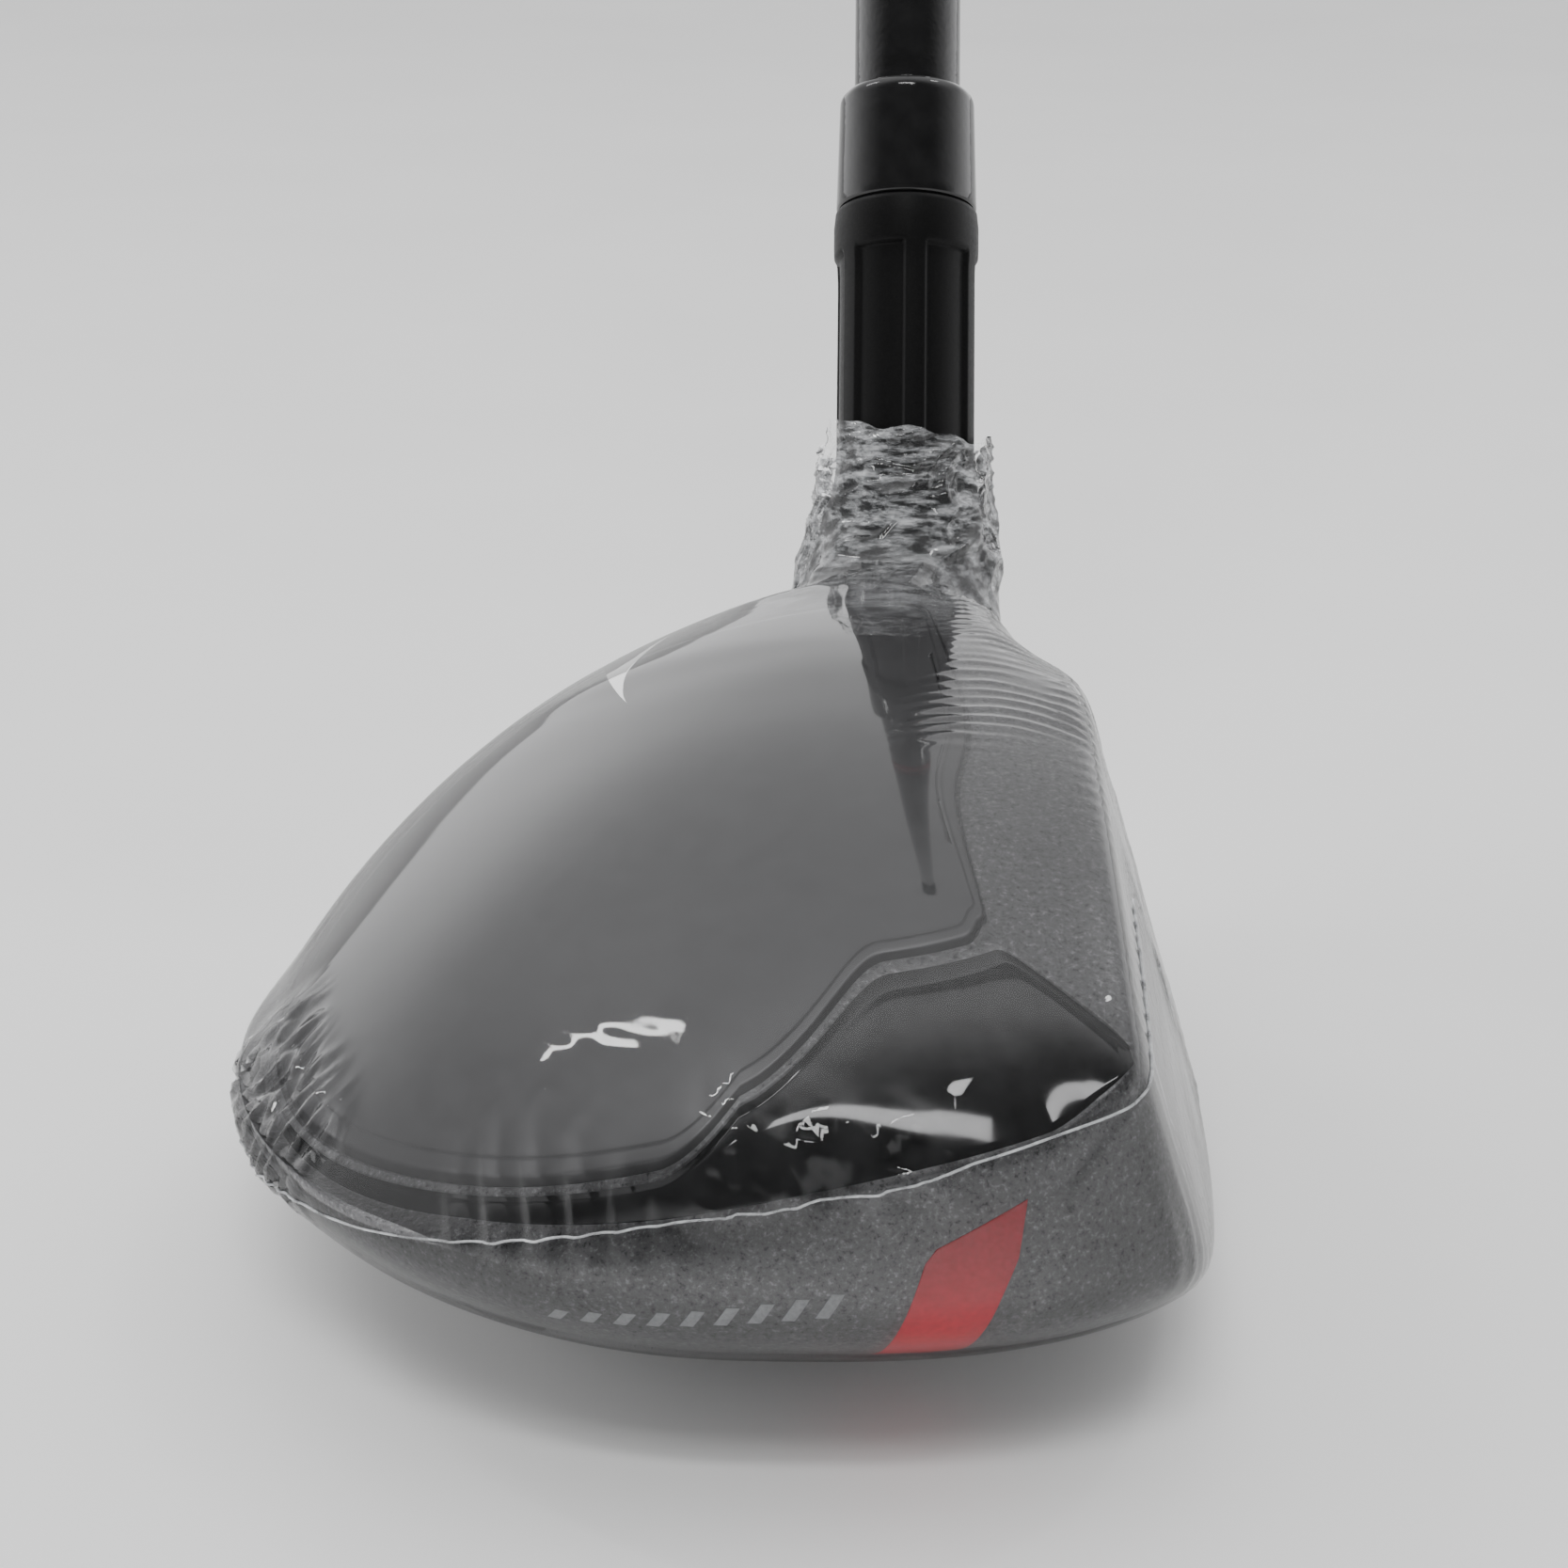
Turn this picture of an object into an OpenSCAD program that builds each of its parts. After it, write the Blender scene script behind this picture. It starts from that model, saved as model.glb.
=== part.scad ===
// Hybrid golf club: hollow head, bonded graphite shaft and slip-on grip, the head in shrink film.
// +X points at the target, +Y runs from toe to heel, +Z is up.
// The origin is the point of the sole that rests on the ground.

/* [Head] */
// Reach of the head from its centre to the rear edge
head_rear = 37.2; // [36:0.2:38]
// Reach of the head from its centre to the toe
head_toe = 42; // [41:0.5:43]
// Height of the highest point of the crown
crown_height = 37.8; // [37:0.2:39]
// Distance from the origin to the leading edge
leading_edge = 34; // [33.6:0.1:34.6]
// Slope of the face from the vertical, degrees
loft = 17.5; // [16:0.5:19]
// Thickness of the cast walls
wall = 1.1; // [0.9:0.1:1.3]
// Height of the crown panel's edge above the crown
panel_step = 0.25; // [0.15:0.05:0.3]

/* [Hosel] */
// Angle between the shaft and the ground, degrees
lie = 60; // [59:0.5:61]
// Outer diameter of the hosel above its neck
hosel_od = 12.7; // [12.4:0.1:13]
// Distance from the ground to the top of the hosel, along the shaft
hosel_top = 70; // [68:0.5:72]
// Number of flutes round the hosel
flutes = 6; // [4:1:6]
// Depth of each flute
flute_depth = 0.45; // [0.3:0.05:0.6]
// Height of the ferrule
ferrule_h = 11.2; // [10:0.2:14]

/* [Shaft] */
// Length of the club along the shaft, from the ground to the end of the grip
club_length = 1016; // [950:2:1060]
// Diameter of the parallel tip
tip_od = 9.55; // [9.4:0.05:9.6]
// Diameter of the parallel butt
butt_od = 15.2; // [14.8:0.1:15.6]

/* [Grip] */
// Length of the grip
grip_length = 266; // [250:1:275]
// Diameter of the grip at its mouth
grip_mouth_od = 19.4; // [19:0.1:20.5]
// Diameter of the grip under its end cap
grip_end_od = 26.6; // [25:0.1:28]

/* [Hidden] */

fine = 96;                          // facets of a full circle
gap = 0.05;                         // clearance between pieces that slide together

// Plan of the head: four quarter superellipses round one centre
centre = [0, 0];
head_front = 38;                    // reach to the front, beyond the face plane that cuts it
head_heel = 42;                     // reach to the heel
round_front_toe = 2.8;              // exponents of the four quarters
round_front_heel = 1.9;
round_rear_toe = 2.06;
round_rear_heel = 1.71;
skirt_lean = 1.8;                   // how far the skirt's top stands inside its foot
column_angles = [for (t = [0:5:280]) t, for (t = [282.5:2.5:312.5]) t, for (t = [315:5:355]) t];
coarse_angles = [for (t = [0:7.5:352.5]) t];
between_angles = [for (t = column_angles) t + 0.6];  // off the columns, for what is let into the head

// Crown: a dome that falls away from its highest point in each direction
dome = [12.2, 10.4];                  // plan position of the highest point
rear_fall = [17.65, 42, 2.02];      // fall, the distance over which it falls, and the exponent
front_fall = [1.27, 12, 2];
toe_fall = [15, 54, 2.6];
heel_fall = [6.6, 40, 2.2];
corner_fall = [13, 7, 1.5];         // extra fall where the face meets the heel, by x and by y
corner_start = [17, 9];
toe_lift = 0.007;                   // how much less the toe falls for each mm towards the face

// Face: a plane through the leading edge, bulged from heel to toe
edge_height = 5;
bulge_radius = 456;
bulge_middle = 8;
edge_round = 2.2;
plate_t = 1.9;
score_lines = 7;
score_pitch = 3;
score_depth = 0.35;

// Toe scoop: between the crown's edge and the top of the skirt
scoop_depth = 11.6;
skirt_height = 21.1;                // height of the skirt's top above the origin
skirt_slope = 0.2;
scoop_step = 0.7;                   // drop at the crown's edge
trim_t = 0.5;
mark_t = 0.3;

// Sole
sole_lift = 0.4;                    // the sole plate stands this far out of the casting
sole_curve = 1.92;
plate_seat = 0.5;                   // how deep the sole plate sits in the casting
floor_height = 2.4;                 // inner floor of the cavity
slot_x = 23;
slot_w = 3;
slot_l = 50;

// Crown panel
panel_front = 15.2;                 // plan position of its front edge
panel_heel = 33;                    // plan position of its edge at the heel
panel_margin = 0.8;                 // distance kept from the crown's edge
panel_corner = 5;                   // rounding of its front corners
panel_t = 0.5;                      // how deep it sits in the crown

// Neck: a horn that runs from the hosel into the heel of the head
shaft_foot = [12.3, 36.5, 0];        // where the shaft axis meets the ground
neck_top = 47;                      // along the shaft axis
neck_bend = 22;
neck_end = [6, 24, 15];
neck_rings = 9;
neck_swell = 7.5;
neck_step = 0.05;                   // the neck's top is this much wider than the hosel
bore_r = tip_od / 2 + 0.1;
bore_foot = 38;

// Shaft: distances along the axis from the ground
shaft_foot_s = bore_foot + 1;
shaft_end = club_length - 4;
taper_start = 160;
taper_end = 660;
tip_bore = 5;
butt_bore = 13.2;
tape_t = 0.4;
grip_mouth = club_length - grip_length;
film_gap = 0.45;
film_t = 0.25;
seam_height = 21;
seam_slope = 0.23;

hosel_r = hosel_od / 2;
tip_r = tip_od / 2;
butt_r = butt_od / 2;
sanded_r = butt_r - 0.2;            // radius of the butt under the grip

// ---- shape of the head ----

function ease(t) = let (c = min(1, max(0, t))) c * c * (3 - 2 * c);

// 0 below a, 1 from b to c, 0 above d
function bump(t, a, b, c, d) = ease((t - a) / (b - a)) * (1 - ease((t - c) / (d - c)));

// The lesser of a and b, blended over k
function soft_min(a, b, k) =
    let (m = min(1, max(0, 0.5 + (b - a) / (2 * k)))) b * (1 - m) + a * m - k * m * (1 - m);

function signed_power(c, n) = sign(c) * pow(abs(c), 2 / n);

function quarter_round(c, s) = c > 0
    ? (s > 0 ? round_front_heel : round_front_toe)
    : (s > 0 ? round_rear_heel : round_rear_toe);

// Point of the plan at angle t, g larger than the foot of the skirt
function outline(t, g = 0) =
    let (c = cos(t), s = sin(t), n = quarter_round(c, s))
    centre + [(g + (c > 0 ? head_front : head_rear)) * signed_power(c, n),
        (g + (s > 0 ? head_heel : head_toe)) * signed_power(s, n)];

function fall(f, d) = f[0] * pow(max(0, d) / f[1], f[2]);

function crown_z(p) = crown_height - fall(rear_fall, dome.x - p.x) - fall(front_fall, p.x - dome.x)
    - fall(toe_fall, dome.y - p.y) * (1 - toe_lift * p.x) - fall(heel_fall, p.y - dome.y)
    - fall(corner_fall, p.x - corner_start.x) * fall([1, 29, 1.8], p.y - corner_start.y);

function face_x(y, z) = leading_edge - (z - edge_height) * tan(loft)
    - pow(y - bulge_middle, 2) / (2 * bulge_radius);

// How far the crown's edge stands inside the top of the skirt
function scoop_width(t, scoop) =
    0.5 + scoop * (scoop_depth * bump(t, 262, 284, 300, 309) + 0.5 * bump(t, 205, 240, 260, 300));

function skirt_z(p, t) =
    let (crown = crown_z(p) - 0.5, w = bump(t, 200, 225, 294, 307))
    crown * (1 - w) + min(crown, skirt_height + skirt_slope * p.x) * w;

function foot_z(t) = 12.5 - 1.1 * cos(t) - 3.7 * sin(t);

// The crown's edge at angle t, in plan
function crown_edge(t, scoop = 1) =
    let (k = outline(t, -skirt_lean))
    centre + (k - centre) * (1 - scoop_width(t, scoop) / norm(k - centre));

// Section through the head at angle t. v runs from 0, the middle of the crown, to 1, its edge,
// 2, the top of the skirt, 3, the foot of the skirt, and 4, the middle of the sole.
function section(t, v, scoop) =
    let (k = outline(t, -skirt_lean), e = crown_edge(t, scoop), w = outline(t),
        ez = crown_z(e), kz = skirt_z(k, t), wz = foot_z(t), u = v - floor(min(v, 3.999)))
    v < 1 ? let (p = centre + (e - centre) * v) [p.x, p.y, crown_z(p)] :
    v < 2 ? let (p = e + (k - e) * u, step = min(scoop_step, 0.3 * (ez - kz)))
        [p.x, p.y, ez - step * ease(u / 0.12) - (ez - kz - step) * pow(u, 1.6)] :
    v < 3 ? let (p = k + (w - k) * sin(90 * u)) [p.x, p.y, kz + (wz - kz) * u] :
    let (r = cos(90 * u), p = centre + (w - centre) * r)
        [p.x, p.y, sole_lift + (wz - sole_lift) * (1 - pow(1 - pow(r, sole_curve), 1 / sole_curve))];

// Tilt of the surface from the vertical at v, used to grow or shrink the head
function tilt(v) = v < 2 ? 25 * v : v < 3 ? 50 + 40 * (v - 2) : 90 * (v - 2);

// The same point on a head that is g larger all round
function head_point(t, v, g, scoop) =
    let (p = section(t, v, scoop), d = [p.x - centre.x, p.y - centre.y],
        n = norm(d) > 0 ? d / norm(d) : [0, 0],
        q = p + g * [n.x * sin(tilt(v)), n.y * sin(tilt(v)), cos(tilt(v))])
    [soft_min(q.x, face_x(q.y, q.z) + g / cos(loft), edge_round), q.y, q.z];

// Closed skin over rings of points, with one point at each end
module skin(first, rings, last) {
    n = len(rings[0]);
    m = len(rings);
    function at(i, j) = 1 + i * n + (j % n);
    polyhedron(
        points = concat([first], [for (r = rings) for (p = r) p], [last]),
        faces = concat(
            [for (j = [0:n - 1]) [0, at(0, j + 1), at(0, j)]],
            [for (i = [0:m - 2]) for (j = [0:n - 1]) [at(i, j), at(i, j + 1), at(i + 1, j + 1)]],
            [for (i = [0:m - 2]) for (j = [0:n - 1]) [at(i, j), at(i + 1, j + 1), at(i + 1, j)]],
            [for (j = [0:n - 1]) [1 + m * n, at(m - 1, j), at(m - 1, j + 1)]]),
        convexity = 6);
}

body_levels = [0.3, 0.55, 0.75, 0.88, 1, 1.12, 1.4, 1.7, 2, 2.5, 3, 3.15, 3.3, 3.5, 3.75];
coarse_levels = [0.4, 0.75, 1, 1.5, 2, 2.5, 3, 3.2, 3.5, 3.75];

module head_solid(g = 0, scoop = 1, angles = column_angles, levels = body_levels) {
    skin(head_point(0, 0, g, scoop),
        [for (v = levels) [for (t = angles) head_point(t, v, g, scoop)]],
        head_point(0, 4, g, scoop));
}

module coarse_head(g, scoop = 1) {
    head_solid(g, scoop, coarse_angles, coarse_levels);
}

// ---- neck and hosel ----

function on_axis(s) = shaft_foot + s * [0, cos(lie), sin(lie)];

function neck_centre(u) = (1 - u) * (1 - u) * on_axis(neck_top) + 2 * u * (1 - u) * on_axis(neck_bend)
    + u * u * neck_end;

function neck_course(u) = 2 * (1 - u) * (on_axis(neck_bend) - on_axis(neck_top))
    + 2 * u * (neck_end - on_axis(neck_bend));

// Ring of the neck: it swells as it goes down, most of all towards the rear
function neck_ring(u, g) =
    let (c = neck_centre(u), d = neck_course(u) / norm(neck_course(u)),
        flat = [1, 0, 0] - d.x * d, across = flat / norm(flat), up = cross(across, d),
        r = hosel_r + neck_step + g + neck_swell * pow(u, 1.15))
    [for (a = [5:12:353]) c + r * (cos(a) * (1 + u * (cos(a) < 0 ? 0.3 : 0.1)) * across + sin(a) * up)];

module neck(g = 0) {
    skin(neck_centre(0), [for (i = [0:neck_rings]) neck_ring(i / neck_rings, g)], neck_centre(1));
}

module head_with_neck(g, scoop) {
    union() {
        coarse_head(g, scoop);
        neck(g);
    }
}

// Moves what stands on z = 0 to the distance s along the shaft axis
module on_shaft(s = 0) {
    translate(on_axis(s)) rotate([lie - 90, 0, 0]) children();
}

// A turned piece from the distances along the axis and the radii of its outline
module turned(outline) {
    on_shaft() rotate_extrude($fn = fine) polygon([for (p = outline) [p[1], p[0]]]);
}

module hosel_blank() {
    collar = hosel_top - 2.6;
    turned([[neck_top - 0.5, 0], [neck_top - 0.5, hosel_r - 0.02], [collar - 3.6, hosel_r],
        [collar - 1, hosel_r + 0.15], [collar + 1, hosel_r + 0.15], [hosel_top, hosel_r], [hosel_top, 0]]);
}

module flute_cuts() {
    first = -114;
    width = 42;
    on_shaft(neck_top - 1) for (i = [0:flutes - 1])
        rotate([0, 0, first - width / 2 + i * 360 / flutes])
            rotate_extrude(angle = width, $fn = fine)
                translate([hosel_r - flute_depth, 0]) square([2, hosel_top - neck_top - 3.7]);
}

// ---- zones that divide the head between its pieces ----

// Region of the face plate: a rounded window seen along the face's normal
module face_window(depth = 4.5) {
    translate([leading_edge, 0, edge_height]) rotate([0, -loft, 0])
        translate([-depth, 0, 0]) rotate([90, 0, 90]) linear_extrude(depth + 6)
            hull() {
                translate([-18, 17]) circle(9.5, $fn = 40);
                translate([-15, 12.5]) circle(7.5, $fn = 40);
                translate([22, 18]) circle(9.5, $fn = 40);
                translate([22, 12]) circle(7, $fn = 40);
            }
}

module score_cuts() {
    translate([leading_edge, 0, edge_height]) rotate([0, -loft, 0])
        for (i = [0:score_lines - 1])
            translate([-6, -18 + 0.2 * i, 6.5 + i * score_pitch]) cube([12, 40 - 0.4 * i, 0.8]);
}

// Strip of the head's surface along the toe scoop, from low to high above it
module scoop_strip(low, high) {
    levels = [1.12, 1.4, 1.7, 1.96];
    down = [for (i = [len(levels) - 1:-1:0]) levels[i]];
    function ring(t) = concat([for (v = levels) head_point(t, v, low, 1)],
        [for (v = down) head_point(t, v, high, 1)]);
    function middle(r) = (r[0] + r[3] + r[4] + r[7]) / 4;
    rings = [for (t = between_angles) if (t >= 235 && t <= 307) ring(t)];
    skin(middle(rings[0]), rings, middle(rings[len(rings) - 1]));
}

module accent_window() {
    translate([0, -28, 0]) rotate([90, 0, 0]) linear_extrude(20)
        polygon([[17.9, 21.7], [12.2, 19.1], [11.5, 18.2], [7.4, 4.5],
            [12.8, 4.5], [16.4, 15.4], [17.4, 18]]);
}

// A row of slanted ticks that grow towards the face
module mark_window() {
    marks = 9;
    tick_w = 0.9;
    translate([0, -32, 0]) rotate([90, 0, 0]) linear_extrude(14)
        for (i = [0:marks - 1])
            translate([-12 + 2.1 * i, 12.4 + 0.26 * i])
                polygon([[0, 0], [tick_w, 0], [tick_w + 0.6 + 0.05 * i, 1.1 + 0.1 * i],
                    [0.6 + 0.05 * i, 1.1 + 0.1 * i]]);
}

module sole_window() {
    linear_extrude(5) polygon([for (t = [0:10:350])
        [-3 + 22 * signed_power(cos(t), 2.6), 27 * signed_power(sin(t), 2.2)]]);
}

module slot_window() {
    translate([slot_x, -slot_l / 2, -1]) cube([slot_w, slot_l, 6.5]);
}

// The layer of the head between two depths under its surface
module layer(outer, inner) {
    difference() {
        head_solid(outer);
        head_solid(inner);
    }
}

// Closed slab under the crown panel: from low to high above the crown, g larger in plan
module panel_slab(low, high, g = 0) {
    function reach(t) =
        let (edge = norm(crown_edge(t) - centre) - panel_margin,
            front = cos(t) > 0.05 ? (panel_front - centre.x) / cos(t) : 200,
            heel = sin(t) > 0.05 ? panel_heel / sin(t) : 200)
        g + soft_min(soft_min(edge, front, panel_corner), heel, panel_corner);
    function plan(t, r) = centre + r * reach(t) * [cos(t), sin(t)];
    function point(t, r, h) = let (p = plan(t, r)) [p.x, p.y, crown_z(p) + h];
    radii = [0.3, 0.55, 0.75, 0.9, 1];
    skin(point(0, 0, high),
        concat([for (r = radii) [for (t = between_angles) point(t, r, high)]],
            [for (i = [len(radii) - 1:-1:0]) [for (t = between_angles) point(t, radii[i], low)]]),
        point(0, 0, low));
}

// ---- head pieces ----

module head_body() color("dimgray") resize([0, 0, 0]) difference() {
    union() {
        difference() {
            union() {
                head_solid();
                neck();
            }
            intersection() {
                coarse_head(-wall);
                translate([-60, -60, floor_height]) cube([120, 120, 60]);
            }
        }
        intersection() {
            neck();
            on_shaft(bore_foot - 4) cylinder(r = hosel_r - 0.6, h = 12, $fn = fine);
        }
        difference() {
            hosel_blank();
            flute_cuts();
        }
    }
    on_shaft(bore_foot) cylinder(r = bore_r, h = hosel_top - bore_foot + 1, $fn = fine);
    panel_slab(-panel_t, 3, gap);
    intersection() {
        face_window();
        layer(3, -plate_t);
    }
    scoop_strip(-trim_t, 0.6);
    intersection() {
        accent_window();
        layer(3, -trim_t);
    }
    intersection() {
        mark_window();
        layer(3, -mark_t);
    }
    intersection() {
        sole_window();
        layer(3, -plate_seat);
    }
    slot_window();
}

module face_plate() color("silver") resize([0, 0, 0]) intersection() {
    face_window();
    layer(0, -plate_t);
    difference() {
        head_solid(1);
        difference() {
            score_cuts();
            head_solid(-score_depth);
        }
    }
}

module crown_panel() color([0.3, 0.31, 0.33]) panel_slab(-panel_t, panel_step);

module toe_trim() color([0.08, 0.08, 0.09]) scoop_strip(-trim_t, 0);

module accent_inlay() color("crimson") resize([0, 0, 0]) intersection() {
    accent_window();
    layer(0, -trim_t);
}

module toe_marks() color("lightgray") resize([0, 0, 0]) intersection() {
    mark_window();
    layer(0, -mark_t);
}

module sole_plate() color("gray") resize([0, 0, 0]) intersection() {
    sole_window();
    layer(sole_lift, -plate_seat);
}

module slot_filler() color([0.12, 0.12, 0.13]) resize([0, 0, 0]) intersection() {
    slot_window();
    layer(0, -2.6);
}

// Tungsten-loaded pad, low in the cavity
module inner_weight() color("darkgoldenrod") resize([0, 0, 0]) intersection() {
    coarse_head(-wall - gap);
    translate([-22, -20, floor_height]) cube([20, 40, 3.5]);
}

// Dab of hot-melt glue that catches loose particles, in the toe of the cavity
module hot_melt() color("wheat") resize([0, 0, 0]) intersection() {
    coarse_head(-wall - gap);
    translate([6, -26, floor_height]) cylinder(r1 = 6.5, r2 = 4, h = 4.5, $fn = 40);
}

// ---- shaft, ferrule and what joins them ----

module ferrule() color("black") turned([[hosel_top + 0.02, tip_r + gap], [hosel_top + 0.02, hosel_r - 0.02],
    [hosel_top + 0.6, hosel_r - 0.04], [hosel_top + ferrule_h - 1.6, tip_r + 1.25],
    [hosel_top + ferrule_h - 0.6, tip_r + 1.08], [hosel_top + ferrule_h - 0.1, tip_r + 0.6],
    [hosel_top + ferrule_h, tip_r + gap]]);

module epoxy_bond() color("khaki") turned([[shaft_foot_s, tip_r + 0.01], [shaft_foot_s, bore_r - 0.02],
    [hosel_top, bore_r - 0.02], [hosel_top, tip_r + 0.01]]);

// The butt is thinner under the grip, where it is sanded for the tape
module shaft() color([0.05, 0.05, 0.06]) {
    bare_end = grip_mouth - 2;
    turned([[shaft_foot_s, tip_bore / 2], [shaft_foot_s, tip_r], [taper_start, tip_r],
        [taper_end, butt_r], [bare_end, butt_r], [bare_end, sanded_r], [shaft_end, sanded_r],
        [shaft_end, butt_bore / 2], [taper_end, butt_bore / 2], [taper_start, tip_bore / 2]]);
}

// Small weight bonded in the tip, which also keeps epoxy out of the shaft
module tip_plug() color("goldenrod") on_shaft(shaft_foot_s)
    cylinder(r = tip_bore / 2 - 0.02, h = 22, $fn = fine);

// Two painted rings, thin sleeves on the parallel tip
module shaft_bands() color("firebrick") for (s = [118, 126])
    on_shaft(s) difference() {
        cylinder(r = tip_r + 0.06, h = s == 118 ? 6 : 1.5, $fn = fine);
        translate([0, 0, -1]) cylinder(r = tip_r + 0.01, h = 10, $fn = fine);
    }

module grip_tape() color("tan") on_shaft(grip_mouth + 3) difference() {
    cylinder(r = sanded_r + tape_t, h = shaft_end - grip_mouth - 4, $fn = fine);
    translate([0, 0, -1]) cylinder(r = sanded_r + 0.01, h = grip_length + 2, $fn = fine);
}

module grip() color([0.1, 0.1, 0.1]) {
    inner = sanded_r + tape_t + 0.02;
    mouth_r = grip_mouth_od / 2;
    end_r = grip_end_od / 2;
    turned([[grip_mouth, inner], [grip_mouth, mouth_r - 0.8], [grip_mouth + 1.5, mouth_r],
        [grip_mouth + 0.55 * grip_length, mouth_r + 0.35 * (end_r - mouth_r)],
        [shaft_end - 30, end_r - 0.6], [shaft_end - 4, end_r], [shaft_end, end_r], [shaft_end, inner]]);
}

module grip_cap() color([0.14, 0.14, 0.14]) {
    end_r = grip_end_od / 2;
    turned([[shaft_end + 0.02, 1.6], [shaft_end + 0.02, end_r], [shaft_end + 1.6, end_r + 0.5],
        [club_length - 1, end_r + 0.2], [club_length, end_r - 1.4], [club_length, 1.6]]);
}

// ---- shrink film ----

// Film over the head and the root of the hosel, open where the sole plate rests
module film_wrap() color([0.85, 0.9, 0.95, 0.3]) resize([0, 0, 0]) difference() {
    head_with_neck(film_gap + film_t, 0.4);
    head_with_neck(film_gap, 0.4);
    sole_opening = 0.9;
    translate([-60, -60, sole_opening - 10]) cube([120, 120, 10]);
    on_shaft(neck_top - 0.4) cylinder(r = 20, h = 12);
}

// Welded seam that runs round the film
module film_seam() color([0.9, 0.93, 0.97, 0.5]) resize([0, 0, 0]) intersection() {
    difference() {
        head_with_neck(film_gap + film_t + 0.3, 0.4);
        head_with_neck(film_gap + film_t, 0.4);
    }
    translate([0, 0, seam_height]) rotate([0, -atan(seam_slope), 0]) cube([160, 160, 0.5], center = true);
}

head_body();
face_plate();
crown_panel();
toe_trim();
accent_inlay();
toe_marks();
sole_plate();
slot_filler();
inner_weight();
hot_melt();
ferrule();
epoxy_bond();
shaft();
tip_plug();
shaft_bands();
grip_tape();
grip();
grip_cap();
film_wrap();
film_seam();
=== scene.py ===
"""Hybrid golf club: the head, hosel, shaft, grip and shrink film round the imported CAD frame.

Shapes are worked out in millimetres, with the same curves as the CAD part, and turned to metres
when a mesh is made. +X points at the target, +Y runs from toe to heel, +Z is up.
"""

import math

import bpy
import numpy as np
from mathutils import Matrix, Vector, geometry
from mathutils.bvhtree import BVHTree


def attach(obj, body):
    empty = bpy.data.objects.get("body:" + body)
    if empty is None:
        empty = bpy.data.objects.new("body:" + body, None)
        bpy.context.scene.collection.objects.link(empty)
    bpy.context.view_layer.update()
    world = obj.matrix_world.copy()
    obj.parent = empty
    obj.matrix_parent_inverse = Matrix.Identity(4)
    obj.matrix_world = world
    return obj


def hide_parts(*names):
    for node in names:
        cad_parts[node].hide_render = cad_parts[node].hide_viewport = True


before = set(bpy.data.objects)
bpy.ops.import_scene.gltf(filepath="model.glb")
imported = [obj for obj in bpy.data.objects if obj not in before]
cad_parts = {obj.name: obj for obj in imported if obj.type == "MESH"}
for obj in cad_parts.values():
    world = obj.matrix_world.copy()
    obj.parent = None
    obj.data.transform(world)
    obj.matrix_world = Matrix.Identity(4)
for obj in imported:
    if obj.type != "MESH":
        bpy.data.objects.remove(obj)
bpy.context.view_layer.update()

MM = 0.001

# ---- sizes, in millimetres, as in the CAD part ----

HEAD_FRONT, HEAD_REAR, HEAD_TOE, HEAD_HEEL = 38.0, 37.2, 42.0, 42.0
ROUND_FRONT_TOE, ROUND_FRONT_HEEL, ROUND_REAR_TOE, ROUND_REAR_HEEL = 2.8, 1.9, 2.06, 1.71
SKIRT_LEAN = 1.8
CROWN_HEIGHT = 37.8
DOME = (12.2, 10.4)
TOE_LIFT = 0.007
CORNER_FALL, CORNER_START = 13.0, (17.0, 9.0)  # extra fall of the crown where the face meets the heel
LEADING_EDGE, EDGE_HEIGHT, LOFT = 34.0, 5.0, math.radians(17.5)
BULGE_RADIUS, BULGE_MIDDLE, EDGE_ROUND = 456.0, 8.0, 2.2
SCOOP_DEPTH, SCOOP_STEP = 11.6, 0.7
SKIRT_HEIGHT, SKIRT_SLOPE = 21.1, 0.2
SOLE_LIFT, SOLE_CURVE = 0.4, 1.92
PANEL_FRONT, PANEL_MARGIN, PANEL_CORNER, PANEL_HEEL = 15.2, 0.8, 5.0, 33.0
LIE = math.radians(60)
SHAFT_FOOT = np.array([12.3, 36.5, 0.0])
SHAFT_COURSE = np.array([0.0, math.cos(LIE), math.sin(LIE)])
NECK_TOP, NECK_BEND, NECK_END, NECK_SWELL = 47.0, 22.0, np.array([6.0, 24.0, 15.0]), 7.5
NECK_REAR, NECK_FRONT = 0.3, 0.1  # how much wider the neck grows to the rear and to the front
HOSEL_R, HOSEL_TOP, COLLAR = 6.35, 70.0, 67.4
FLUTES, FLUTE_WIDTH, FLUTE_DEPTH, FLUTE_TOP, FIRST_FLUTE = 6, 42.0, 0.45, 65.3, -114.0
FERRULE_H = 11.2
TIP_R, BUTT_R = 4.775, 7.6
TAPER_START, TAPER_END = 160.0, 660.0
CLUB_LENGTH, GRIP_LENGTH = 1016.0, 266.0
GRIP_MOUTH = CLUB_LENGTH - GRIP_LENGTH
SHAFT_END = CLUB_LENGTH - 4.0
GRIP_MOUTH_R, GRIP_END_R = 9.7, 13.3
FILLET = 10.0  # reach of the blend between the neck and the head
FILM_GAP = 0.55


# ---- curves of the head ----

def unit(v):
    return v / np.maximum(np.linalg.norm(v, axis=-1, keepdims=True), 1e-12)


def ease(t):
    t = np.clip(t, 0, 1)
    return t * t * (3 - 2 * t)


def bump(t, a, b, c, d):
    """0 below a, 1 from b to c, 0 above d."""
    return ease((t - a) / (b - a)) * (1 - ease((t - c) / (d - c)))


def soft_min(a, b, k):
    m = np.clip(0.5 + (b - a) / (2 * k), 0, 1)
    return b * (1 - m) + a * m - k * m * (1 - m)


def signed_power(c, n):
    return np.sign(c) * np.abs(c) ** (2 / n)


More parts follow.
